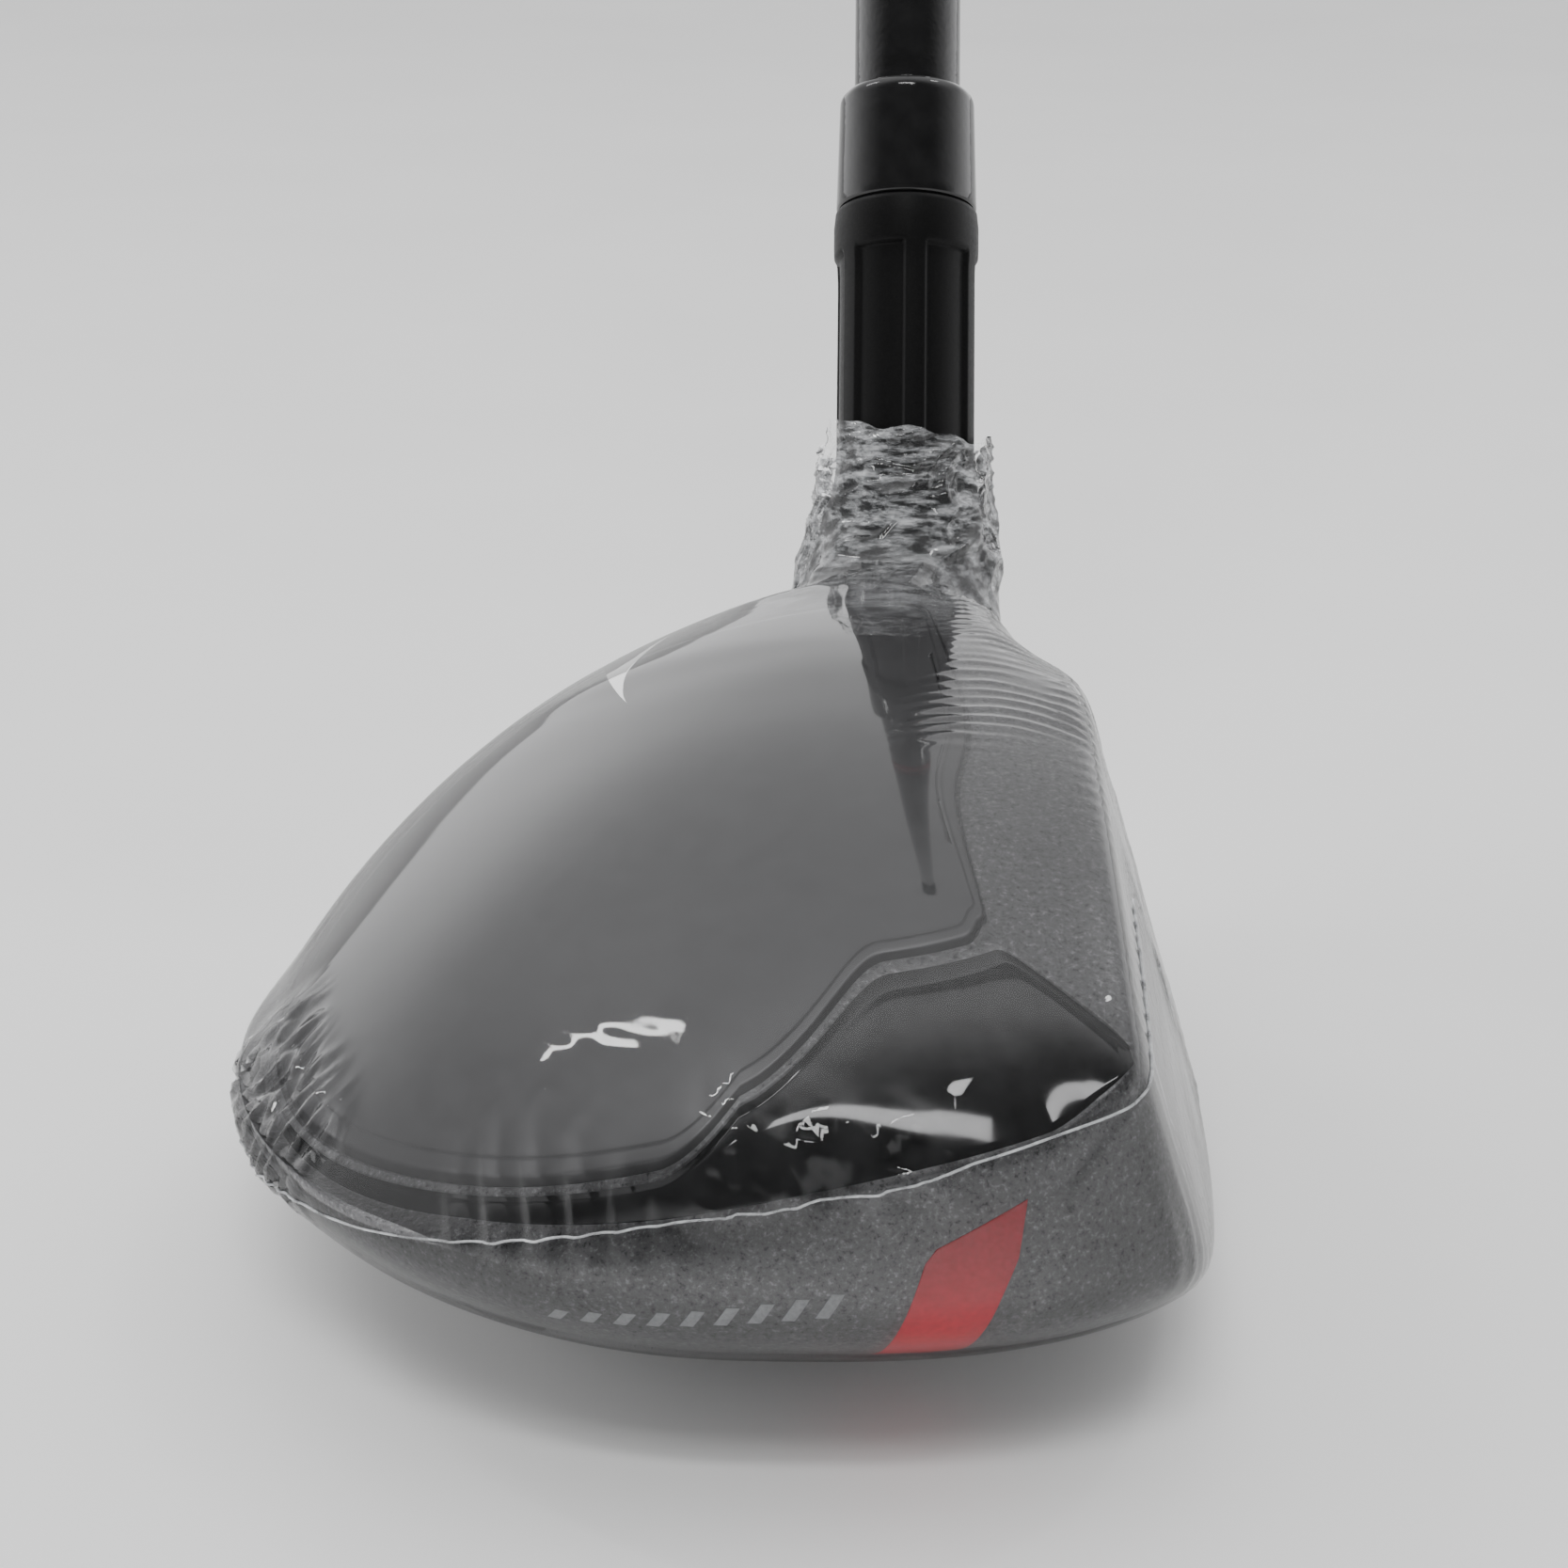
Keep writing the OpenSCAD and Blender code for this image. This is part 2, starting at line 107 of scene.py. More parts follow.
def outline(t, grow=0.0):
    """Plan point at angle t degrees, grow larger than the foot of the skirt."""
    c, s = np.cos(np.radians(t)), np.sin(np.radians(t))
    front = np.where(s > 0, ROUND_FRONT_HEEL, ROUND_FRONT_TOE)
    rear = np.where(s > 0, ROUND_REAR_HEEL, ROUND_REAR_TOE)
    n = np.where(c > 0, front, rear)
    x = (grow + np.where(c > 0, HEAD_FRONT, HEAD_REAR)) * signed_power(c, n)
    y = (grow + np.where(s > 0, HEAD_HEEL, HEAD_TOE)) * signed_power(s, n)
    return np.stack([x, y], -1)


def fall(height, reach, power, distance):
    return height * (np.maximum(0, distance) / reach) ** power


def crown_z(x, y):
    rear = fall(17.65, 42, 2.02, DOME[0] - x)
    front = fall(1.27, 12, 2, x - DOME[0])
    toe = fall(15, 54, 2.6, DOME[1] - y) * (1 - TOE_LIFT * x)
    heel = fall(6.6, 40, 2.2, y - DOME[1])
    corner = fall(CORNER_FALL, 7, 1.5, x - CORNER_START[0]) * fall(1, 29, 1.8, y - CORNER_START[1])
    return CROWN_HEIGHT - rear - front - toe - heel - corner


def face_x(y, z):
    return LEADING_EDGE - (z - EDGE_HEIGHT) * math.tan(LOFT) - (y - BULGE_MIDDLE) ** 2 / (2 * BULGE_RADIUS)


def scoop_width(t, scoop=1.0):
    pocket = SCOOP_DEPTH * bump(t, 262, 284, 300, 309)
    return 0.5 + scoop * (pocket + 0.5 * bump(t, 205, 240, 260, 300))


def crown_edge_reach(t, scoop=1.0):
    return np.linalg.norm(outline(t, -SKIRT_LEAN), axis=-1) - scoop_width(t, scoop)


def skirt_z(p, t):
    crown = crown_z(p[..., 0], p[..., 1]) - 0.5
    w = bump(t, 200, 225, 294, 307)
    return crown * (1 - w) + np.minimum(crown, SKIRT_HEIGHT + SKIRT_SLOPE * p[..., 0]) * w


def foot_z(t):
    return 12.5 - 1.1 * np.cos(np.radians(t)) - 3.7 * np.sin(np.radians(t))


def panel_reach(t):
    """Distance from the head's centre to the edge of the crown panel at angle t."""
    c, s = np.cos(np.radians(t)), np.sin(np.radians(t))
    front = np.where(c > 0.05, PANEL_FRONT / np.maximum(c, 0.05), 200)
    heel = np.where(s > 0.05, PANEL_HEEL / np.maximum(s, 0.05), 200)
    edge = crown_edge_reach(t) - PANEL_MARGIN
    return soft_min(soft_min(edge, front, PANEL_CORNER), heel, PANEL_CORNER)


def on_crown(t, reach, height=0.0):
    p = direction_to_outline(t) * np.asarray(reach)[..., None]
    return np.stack([p[..., 0], p[..., 1], crown_z(p[..., 0], p[..., 1]) + height], -1)


def direction_to_outline(t):
    """Unit vector in plan from the centre to the outline's point at t."""
    return unit(outline(t))


def scoop_point(t, u, scoop=1.0):
    """u runs from 0, the crown's edge, to 1, the top of the skirt."""
    k = outline(t, -SKIRT_LEAN)
    e = direction_to_outline(t) * crown_edge_reach(t, scoop)[..., None]
    ez, kz = crown_z(e[..., 0], e[..., 1]), skirt_z(k, t)
    p = e + (k - e) * u
    step = np.minimum(SCOOP_STEP * scoop, 0.3 * (ez - kz))
    z = ez - step * ease(u / 0.12) - (ez - kz - step) * u ** 1.6
    return np.stack([p[..., 0], p[..., 1], z], -1)


def skirt_point(t, u):
    k, w = outline(t, -SKIRT_LEAN), outline(t)
    kz, wz = skirt_z(k, t), foot_z(t)
    p = k + (w - k) * math.sin(math.pi / 2 * u)
    return np.stack([p[..., 0], p[..., 1], kz + (wz - kz) * u], -1)


def sole_point(t, u):
    r = math.cos(math.pi / 2 * u)
    p, wz = outline(t) * r, foot_z(t)
    z = SOLE_LIFT + (wz - SOLE_LIFT) * (1 - (1 - r ** SOLE_CURVE) ** (1 / SOLE_CURVE))
    return np.stack([p[..., 0], p[..., 1], z], -1)


def cut_by_face(p, grow=0.0):
    p = p.copy()
    p[..., 0] = soft_min(p[..., 0], face_x(p[..., 1], p[..., 2]) + grow / math.cos(LOFT), EDGE_ROUND)
    return p


# ---- neck ----

def on_axis(s):
    return SHAFT_FOOT + np.asarray(s)[..., None] * SHAFT_COURSE


def round_axis(a):
    """Unit vectors across the shaft axis at the angles a, in radians."""
    up = np.array([0, math.sin(LIE), -math.cos(LIE)])
    return np.cos(a)[:, None] * np.array([1.0, 0, 0]) + np.sin(a)[:, None] * up


def neck_frame(u):
    """Centre, course, across and up of the neck at u, which is 0 at the hosel and 1 in the head."""
    u = np.asarray(u, float)[..., None]
    a, b, e = on_axis(np.array(NECK_TOP)), on_axis(np.array(NECK_BEND)), NECK_END
    v = np.maximum(u, 0)
    centre = (1 - v) ** 2 * a + 2 * v * (1 - v) * b + v * v * e + np.minimum(u, 0) * 2 * (b - a)
    course = unit(2 * (1 - v) * (b - a) + 2 * v * (e - b))
    across = unit(np.array([1.0, 0, 0]) - course[..., :1] * course)
    return centre, course, across, np.cross(across, course)


def neck_radius(u, a, grow=0.0):
    u = np.maximum(u, 0)
    r = HOSEL_R + grow + NECK_SWELL * u ** 1.15
    return r, 1 + u * np.where(np.cos(a) < 0, NECK_REAR, NECK_FRONT)


def neck_distance(p, grow=0.0):
    """Signed distance from points to the neck, near enough for blending."""
    steps = np.linspace(-0.4, 1, 57)
    centres, courses, _, _ = neck_frame(steps)
    nearest = np.argmin(((p[:, None, :] - centres[None]) ** 2).sum(-1), axis=1)
    speed = 45.0
    u = steps[nearest] + ((p - centres[nearest]) * courses[nearest]).sum(-1) / speed
    u = np.clip(u, -0.4, 1)
    centre, course, across, up = neck_frame(u)
    q = p - centre
    x, y, along = (q * across).sum(-1), (q * up).sum(-1), (q * course).sum(-1)
    r, stretch = neck_radius(u, np.arctan2(y, x), grow)
    radial = np.hypot(x / stretch, y) - r
    beyond = np.where(u >= 1, np.maximum(along, 0), 0)
    return np.where(beyond > 0, np.hypot(np.maximum(radial, 0), beyond), radial)


def fillet_lift(p, normals, grow=0.0):
    """How far each point rises along its normal so that the head flows into the neck."""
    reach = FILLET
    low, high = np.zeros(len(p)), np.full(len(p), reach)
    inside = neck_distance(p + normals * reach, grow) < 0
    for _ in range(14):
        mid = (low + high) / 2
        d = neck_distance(p + normals * mid[:, None], grow)
        above = soft_min(mid, d, reach) > 0
        high, low = np.where(above, mid, high), np.where(above, low, mid)
    return (low + high) / 2, inside


# ---- mesh helpers ----

def add_piece(name, verts, faces, material):
    """Makes an object from points in millimetres."""
    mesh = bpy.data.meshes.new(name)
    mesh.from_pydata((np.asarray(verts) * MM).tolist(), [], [list(map(int, f)) for f in faces])
    mesh.validate()
    mesh.shade_smooth()
    mesh.update()
    obj = bpy.data.objects.new(name, mesh)
    bpy.context.scene.collection.objects.link(obj)
    mesh.materials.append(material)
    return obj


def grid_faces(rows, columns, closed=True):
    """Quads of a grid of points, columns round and rows down."""
    j = np.arange(columns if closed else columns - 1)
    k = (j + 1) % columns
    first = np.arange(rows - 1)[:, None] * columns
    corners = [first + j, first + columns + j, first + columns + k, first + k]
    return np.stack(corners, -1).reshape(-1, 4)


def grid_normals(grid, closed=True):
    """Outward unit normals of a grid of points."""
    if closed:
        across = np.roll(grid, -1, axis=1) - np.roll(grid, 1, axis=1)
    else:
        across = np.gradient(grid, axis=1)
    down = np.gradient(grid, axis=0)
    return unit(np.cross(down, across))


def noise(p, scale, seed=0.0):
    """Smooth pseudo-random values from -1 to 1 at points p, with features scale apart."""
    q = np.asarray(p) / scale + seed * 17.31
    total = np.zeros(q.shape[:-1])
    waves = ((1.0, 0.7, 0.3, 0.1), (-0.6, 1.1, 0.5, 1.7), (0.4, -0.8, 1.2, 2.9), (0.9, 0.5, -1.0, 4.2),
             (-1.1, -0.4, 0.7, 0.6), (0.2, 1.3, -0.9, 3.6))
    for a, b, c, shift in waves:
        total += np.sin(2.1 * (a * q[..., 0] + b * q[..., 1] + c * q[..., 2]) + shift
                        + 1.3 * np.sin(1.7 * (b * q[..., 0] - a * q[..., 1] + c * q[..., 2]) + 2 * shift))
    return total / len(waves)


# ---- materials ----

def new_material(name, color, roughness, metallic=0.0, coat=0.0, specular=0.5):
    material = bpy.data.materials.new(name)
    material.use_nodes = True
    shader = material.node_tree.nodes["Principled BSDF"]
    shader.inputs["Base Color"].default_value = (*color, 1)
    shader.inputs["Roughness"].default_value = roughness
    shader.inputs["Metallic"].default_value = metallic
    shader.inputs["Coat Weight"].default_value = coat
    shader.inputs["Coat Roughness"].default_value = 0.06
    shader.inputs["Specular IOR Level"].default_value = specular
    return material


def node(material, kind, **settings):
    made = material.node_tree.nodes.new(kind)
    for key, value in settings.items():
        setattr(made, key, value)
    return made


def link(material, source, target):
    material.node_tree.links.new(source, target)


def place_mm(material, stretch=(1, 1, 1)):
    """Object coordinates in millimetres."""
    coords = node(material, "ShaderNodeTexCoord")
    mapping = node(material, "ShaderNodeMapping")
    mapping.inputs["Scale"].default_value = tuple(s / MM for s in stretch)
    link(material, coords.outputs["Object"], mapping.inputs["Vector"])
    return mapping.outputs["Vector"]


def noise_node(material, where, scale, detail=2.0, roughness=0.5):
    texture = node(material, "ShaderNodeTexNoise")
    texture.inputs["Scale"].default_value = scale
    texture.inputs["Detail"].default_value = detail
    texture.inputs["Roughness"].default_value = roughness
    link(material, where, texture.inputs["Vector"])
    return texture.outputs["Fac"]


def color_ramp(material, value, stops, interpolation="LINEAR"):
    ramp = node(material, "ShaderNodeValToRGB")
    ramp.color_ramp.interpolation = interpolation
    elements = ramp.color_ramp.elements
    while len(elements) < len(stops):
        elements.new(0.5)
    for element, (at, color) in zip(elements, stops):
        element.position = at
        element.color = (*color, 1)
    link(material, value, ramp.inputs["Fac"])
    return ramp.outputs["Color"]


def add_bump(material, height, strength, distance_mm):
    made = node(material, "ShaderNodeBump")
    made.inputs["Strength"].default_value = strength
    made.inputs["Distance"].default_value = distance_mm * MM
    link(material, height, made.inputs["Height"])
    feed(material, "Normal", made.outputs["Normal"])


def shader_input(material, name):
    return material.node_tree.nodes["Principled BSDF"].inputs[name]


def feed(material, name, source):
    """Links a socket to an input of the material's shader."""
    link(material, source, shader_input(material, name))


def between(material, value, low, high, start=0.3, stop=0.7):
    """Ramp from low at start to high at stop; each is a number or a colour."""
    low, high = (c if isinstance(c, tuple) else (c,) * 3 for c in (low, high))
    return color_ramp(material, value, [(start, low), (stop, high)])


def grey(v):
    return (v, v, v * 1.03)


def mix_colors(material, factor, first, second, blend="MIX"):
    """Colour between two sockets or plain colours."""
    mix = node(material, "ShaderNodeMix", data_type="RGBA", blend_type=blend)
    for name, value in (("Factor", factor), ("A", first), ("B", second)):
        if hasattr(value, "links"):
            link(material, value, mix.inputs[name])
        elif name == "Factor":
            mix.inputs[name].default_value = value
        else:
            mix.inputs[name].default_value = (*value, 1)
    return mix.outputs["Result"]


def height_on_shaft(material, low, high):
    """0 below the distance low along the shaft axis, 1 above high, in millimetres."""
    coords = node(material, "ShaderNodeTexCoord")
    along = node(material, "ShaderNodeVectorMath", operation="DOT_PRODUCT")
    along.inputs[1].default_value = tuple(SHAFT_COURSE)
    link(material, coords.outputs["Object"], along.inputs[0])
    spread = node(material, "ShaderNodeMapRange")
    start = float(SHAFT_FOOT @ SHAFT_COURSE)
    spread.inputs["From Min"].default_value = (low + start) * MM
    spread.inputs["From Max"].default_value = (high + start) * MM
    link(material, along.outputs["Value"], spread.inputs["Value"])
    return spread.outputs["Result"]


def blasted_steel():
    """Bead-blasted grey head that turns satin black where the hosel begins."""
    m = new_material("blasted_steel", grey(0.08), 0.42, metallic=0.4, coat=0.1)
    where = place_mm(m)
    specks = noise_node(m, where, 2.4, 3.0, 0.8)
    patches = noise_node(m, where, 0.07, 2.0)
    shades = ((0.32, 0.03), (0.44, 0.115), (0.56, 0.13), (0.7, 0.28))
    fine = color_ramp(m, specks, [(at, grey(shade)) for at, shade in shades])
    broad = between(m, patches, 0.88, 1.08)
    steel_tone = mix_colors(m, 1.0, fine, broad, "MULTIPLY")
    grain = noise_node(m, where, 6.0, 3.0, 0.7)
    black_tone = between(m, grain, grey(0.003), grey(0.006), 0.35)
    black = height_on_shaft(m, 34.5, 37.0)
    feed(m, "Base Color", mix_colors(m, black, steel_tone, black_tone))
    feed(m, "Roughness", between(m, specks, 0.5, 0.38))
    for name, on_steel, on_black in (("Metallic", 0.4, 0.02), ("Specular IOR Level", 0.5, 0.14),
                                     ("Coat Weight", 0.1, 0.0)):
        feed(m, name, between(m, black, on_steel, on_black, 0, 1))
    add_bump(m, specks, 0.2, 0.04)
    return m


def crown_paint():
    """Satin charcoal paint with fine flake."""
    m = new_material("crown_paint", grey(0.1), 0.4, metallic=0.5, coat=0.35)
    where = place_mm(m)
    flake = noise_node(m, where, 9.0, 2.0, 0.8)
    broad = noise_node(m, where, 0.05, 2.0)
    fine = between(m, flake, grey(0.088), grey(0.112), 0.35)
    tone = between(m, broad, 0.95, 1.04)
    feed(m, "Base Color", mix_colors(m, 1.0, fine, tone, "MULTIPLY"))
    feed(m, "Roughness", between(m, flake, 0.38, 0.43))
    shader_input(m, "Coat Roughness").default_value = 0.16
    return m


def black_gloss(name, base=0.008, roughness=0.07, ripple=0.0, metallic=0.0):
    """Gloss black with slight mottling, and a rippled lacquer where ripple is over 0."""
    m = new_material(name, grey(base), roughness, metallic)
    where = place_mm(m)
    tone = noise_node(m, where, 0.6, 3.0)
    feed(m, "Base Color", between(m, tone, grey(base * 0.75), grey(base * 1.3)))
    feed(m, "Roughness", between(m, tone, roughness * 0.8, roughness * 1.3))
    if ripple:
        add_bump(m, noise_node(m, where, 1.6, 2.0, 0.6), ripple, 0.05)
    return m


def red_paint():
    m = new_material("red_paint", (0.6, 0.01, 0.03), 0.42, coat=0.05)
    where = place_mm(m)
    tone = noise_node(m, where, 2.4, 3.0, 0.6)
    feed(m, "Base Color", between(m, tone, (0.53, 0.006, 0.02), (0.67, 0.012, 0.035)))
    add_bump(m, noise_node(m, where, 7.0), 0.1, 0.02)
    return m


def milled_steel(name, base, grain=(0.3, 6, 6)):
    """Brushed steel; the grain runs along the axis with the smallest stretch."""
    m = new_material(name, grey(base), 0.33, metallic=0.9)
    lines = noise_node(m, place_mm(m, grain), 1.6, 3.0, 0.6)
    feed(m, "Base Color", between(m, lines, grey(base * 0.8), grey(base * 1.15)))
    feed(m, "Roughness", between(m, lines, 0.26, 0.42))
    add_bump(m, lines, 0.25, 0.03)
    return m


def plain(name, color, roughness, grain=4.0, depth=0.03, metallic=0.0):
    """Moulded or cast surface with small changes of tone."""
    m = new_material(name, color, roughness, metallic)
    tone = noise_node(m, place_mm(m), grain, 3.0, 0.6)
    darker, lighter = (tuple(min(1, c * part) for c in color) for part in (0.8, 1.2))
    feed(m, "Base Color", between(m, tone, darker, lighter))
    feed(m, "Roughness", between(m, tone, roughness * 0.9, min(1, roughness * 1.1)))
    add_bump(m, tone, 0.3, depth)
    return m


def film_material(name, haze, neck_haze, gloss=0.04):
    """Clear film: see-through, with a gloss that grows towards the edges and milky patches.

    haze is how milky it is over the head, and neck_haze where it is gathered round the neck.
    """
    m = bpy.data.materials.new(name)
    m.use_nodes = True
    tree = m.node_tree
    tree.nodes.remove(tree.nodes["Principled BSDF"])
    clear = node(m, "ShaderNodeBsdfTransparent")
    shine = node(m, "ShaderNodeBsdfGlossy")
    shine.inputs["Roughness"].default_value = gloss
    milky = node(m, "ShaderNodeBsdfDiffuse")
    milky.inputs["Color"].default_value = (0.9, 0.92, 0.94, 1)
    edge = node(m, "ShaderNodeFresnel")
    edge.inputs["IOR"].default_value = 1.5
    even = between(m, noise_node(m, place_mm(m), 0.5, 4.0, 0.7), haze * 0.4, haze * 1.6, 0.35, 0.75)
    streaks = noise_node(m, place_mm(m, (0.35, 0.8, 1.5)), 0.8, 4.0, 0.7)
    patchy = between(m, streaks, neck_haze * 0.05, neck_haze, 0.45, 0.68)
    amount = mix_colors(m, height_on_shaft(m, 27, 40), even, patchy)
    foggy = node(m, "ShaderNodeMixShader")
    link(m, amount, foggy.inputs["Fac"])
    link(m, clear.outputs["BSDF"], foggy.inputs[1])
    link(m, milky.outputs["BSDF"], foggy.inputs[2])
    whole = node(m, "ShaderNodeMixShader")
    link(m, edge.outputs["Fac"], whole.inputs["Fac"])
    link(m, foggy.outputs["Shader"], whole.inputs[1])
    link(m, shine.outputs["BSDF"], whole.inputs[2])
    link(m, whole.outputs["Shader"], tree.nodes["Material Output"].inputs["Surface"])
    return m


# ---- head ----

def head_columns():
    """Angles of the columns, closer together round the toe scoop."""
    return np.concatenate([np.arange(0, 258, 0.9), np.arange(258, 318, 0.4), np.arange(318, 359.9, 0.9)])


def skirt_block(p):
    """The front of the toe stands a little proud of the rest of the skirt."""
    line = np.interp(p[..., 2], (10.8, 13.7, 17.6, 21.7, 24, 27), (16.4, 17.8, 19.4, 20.3, 21.9, 25))
    rise = 0.28 * ease((p[..., 0] - line) / 0.5)
    zone = bump(p[..., 2], 8.5, 10.5, 26, 28.5) * ease((-20 - p[..., 1]) / 8)
    return rise * zone


def head_grid():
    t = head_columns()
    reach, edge = panel_reach(t), crown_edge_reach(t)
    rows = [on_crown(t, reach * f, -0.9) for f in (0.02, 0.5, 0.9)]
    for out, height in ((-0.5, -0.9), (0.0, -0.6), (0.05, -0.5), (0.32, -0.48), (0.38, -0.08), (0.46, 0)):
        rows.append(on_crown(t, reach + out, height))
    for f in np.linspace(0, 1, 30)[1:]:
        rows.append(on_crown(t, reach + 0.46 + (edge - reach - 0.46) * f))
    for u in (0.02, 0.05, 0.08, 0.11, 0.14, *np.linspace(0.18, 0.94, 20), 0.965, 0.985, 1.0):
        rows.append(scoop_point(t, u))
    for u in (0.015, 0.04, *np.linspace(0.09, 1, 20)):
        rows.append(skirt_point(t, u))
    for u in np.linspace(0, 0.995, 34)[1:]:
        rows.append(sole_point(t, u))
    grid = cut_by_face(np.array(rows))
    grid += grid_normals(grid) * skirt_block(grid)[..., None]
    return t, grid


def blend_with_neck(grid, grow=0.0):
    """Lifts the grid into the neck and marks the points that the neck covers."""
    flat, normals = grid.reshape(-1, 3), grid_normals(grid).reshape(-1, 3)
    near = neck_distance(flat, grow) < 2.5 * FILLET
    lift, covered = np.zeros(len(flat)), np.zeros(len(flat), bool)
    lift[near], covered[near] = fillet_lift(flat[near], normals[near], grow)
    lift[covered] = FILLET
    lift *= ease((normals[:, 2] + 0.9) / 0.5)
    lifted = flat + normals * np.where(near, lift, 0)[:, None]
    return lifted.reshape(grid.shape), covered.reshape(grid.shape[:2])


def sink_covered(grid, lifted, covered):
    """Points well inside the neck stay down, so that nothing shows through it."""
    deep = neck_distance(lifted.reshape(-1, 3)).reshape(covered.shape) < -1.2
    result = lifted.copy()
    result[covered & deep] = grid[covered & deep]
    return result


def hosel_profile(s):
    """Radius of the hosel at the distance s along the shaft axis."""
    return np.interp(s, (NECK_TOP, COLLAR - 3.6, COLLAR - 1, COLLAR + 1, HOSEL_TOP - 0.25, HOSEL_TOP),
                     (HOSEL_R, HOSEL_R, HOSEL_R + 0.15, HOSEL_R + 0.15, HOSEL_R + 0.02, HOSEL_R - 0.25))


def flute_depth(angle_degrees, s):
    pitch = 360 / FLUTES
    off = np.abs((angle_degrees - FIRST_FLUTE + pitch / 2) % pitch - pitch / 2)
    across = 1 - ease((off - (FLUTE_WIDTH / 2 - 1.2)) / 2.4)
    top = 1 - ease((s - FLUTE_TOP) / 0.3)
    foot = ease((s - 41) / 4)
    return FLUTE_DEPTH * across * top * foot


def neck_grid(grow=0.0, turns=300, flutes=True):
    angles = np.arange(turns) * 360 / turns
    a = np.radians(angles)
    tall = [HOSEL_TOP, 69.85, 69.7, 69.4, 69, 68.4, 67.5, 66.6, 66, 65.7, 65.5, 65.4, 65.3, 65.15, 65]
    straight = np.concatenate([tall, np.linspace(64, NECK_TOP, 14)[:-1]])
    rows = []
    for s in straight:
        depth = flute_depth(angles, s) if flutes else 0
        r = hosel_profile(s) + grow - depth
        rows.append(on_axis(np.array(s)) + round_axis(a) * np.asarray(r).reshape(-1, 1))
    for u in np.linspace(0, 1, 60):
        centre, _, across, up = neck_frame(u)
        r, stretch = neck_radius(u, a, grow)
        depth = flute_depth(angles, NECK_TOP - 50 * u) if flutes else 0
        rows.append(centre + ((r - depth) * stretch * np.cos(a))[:, None] * across
                    + ((r - depth) * np.sin(a))[:, None] * up)
    return np.array(rows)


def cap_rows(grid):
    """Closes the first and last rows of a grid with fans."""
    columns, rows = grid.shape[1], grid.shape[0]
    flat = np.concatenate([grid.reshape(-1, 3), [grid[0].mean(0)], [grid[-1].mean(0)]])
    first, last = len(flat) - 2, len(flat) - 1
    faces = [tuple(f) for f in grid_faces(rows, columns)]
    for j in range(columns):
        k = (j + 1) % columns
        faces.append((first, j, k))
        faces.append((last, (rows - 1) * columns + k, (rows - 1) * columns + j))
    return flat, faces


def make_head(material):
    _, grid = head_grid()
    lifted, covered = blend_with_neck(grid)
    shape = sink_covered(grid, lifted, covered)
    verts, faces = cap_rows(shape)
    return add_piece("head_shell", verts, faces, material)


def make_hosel(material):
    verts, faces = cap_rows(neck_grid())
    return add_piece("hosel", verts, faces, material)


def make_crown_panel(material):
    """Panel with a raised rim just inside its edge."""
    t = head_columns()
    reach = panel_reach(t)
    rows = [on_crown(t, reach * f, 0.12) for f in np.linspace(0.01, 0.93, 34)]
    profile = ((-1.6, 0.12), (-1.3, 0.12), (-1.16, 0.13), (-1.06, 0.2), (-1.0, 0.25), (-0.8, 0.25),
               (-0.3, 0.25), (-0.12, 0.24), (-0.04, 0.19), (0, 0.1), (0.01, -0.2), (0.01, -0.55))
    for out, height in profile:
        rows.append(on_crown(t, reach + out, height))
    grid = cut_by_face(np.array(rows))
    lifted, covered = blend_with_neck(grid)
    shape = sink_covered(grid, lifted, covered)
    flat = np.concatenate([shape.reshape(-1, 3), [shape[0].mean(0)]])
    faces = [tuple(f) for f in grid_faces(*shape.shape[:2])]
    faces += [(len(flat) - 1, j, (j + 1) % len(t)) for j in range(len(t))]
    return add_piece("crown_cover", flat, faces, material)


def make_toe_trim(material):
    """Gloss black layer of the toe scoop."""
    t = np.concatenate([np.arange(206, 258, 0.9), np.arange(258, 308.2, 0.3)])
    spread = np.concatenate([[0.03, 0.06, 0.1, 0.14], np.linspace(0.18, 0.94, 30), [0.965, 0.985]])
    rows = cut_by_face(np.array([scoop_point(t, u) for u in spread]))
    normals = grid_normals(rows, closed=False)
    proud = np.full(rows.shape[:2], 0.035)
    proud[0] = proud[-1] = -0.05
    proud[:, 0] = proud[:, -1] = -0.05
    rows = rows + normals * proud[..., None]
    return add_piece("scoop_trim", rows.reshape(-1, 3), grid_faces(*rows.shape[:2], closed=False), material)


# ---- pieces let into the head ----

def resample(points, spacing):
    """Closed outline with a point at least every spacing."""
    out = []
    for a, b in zip(points, np.roll(points, -1, axis=0)):
        n = max(1, int(np.ceil(np.linalg.norm(b - a) / spacing)))
        out += [a + (b - a) * i / n for i in range(n)]
    return np.array(out)


def shrink(loop, by):
    """Outline moved inwards; the loop runs counter-clockwise."""
    before, after = loop - np.roll(loop, 1, axis=0), np.roll(loop, -1, axis=0) - loop
    n1 = np.stack([-before[:, 1], before[:, 0]], -1) / np.linalg.norm(before, axis=1, keepdims=True)
    n2 = np.stack([-after[:, 1], after[:, 0]], -1) / np.linalg.norm(after, axis=1, keepdims=True)
    mitre = (n1 + n2) / np.maximum(1 + (n1 * n2).sum(1), 0.4)[:, None]
    return loop + mitre * by


def inside_by(points, loop):
    """Distance of each point inside the outline, negative outside."""
    a, b = loop, np.roll(loop, -1, axis=0)
    d = b - a
    rel = points[:, None] - a[None]
    t = np.clip((rel * d).sum(-1) / (d * d).sum(-1), 0, 1)
    gap = np.linalg.norm(rel - t[..., None] * d, axis=-1).min(1)
    y0, y1, y = a[None, :, 1], b[None, :, 1], points[:, None, 1]
    crosses = (y0 > y) != (y1 > y)
    x = a[None, :, 0] + (y - y0) / np.where(y1 == y0, 1e-9, y1 - y0) * d[None, :, 0]
    odd = (crosses & (points[:, None, 0] < x)).sum(1) % 2 == 1
    return np.where(odd, gap, -gap)


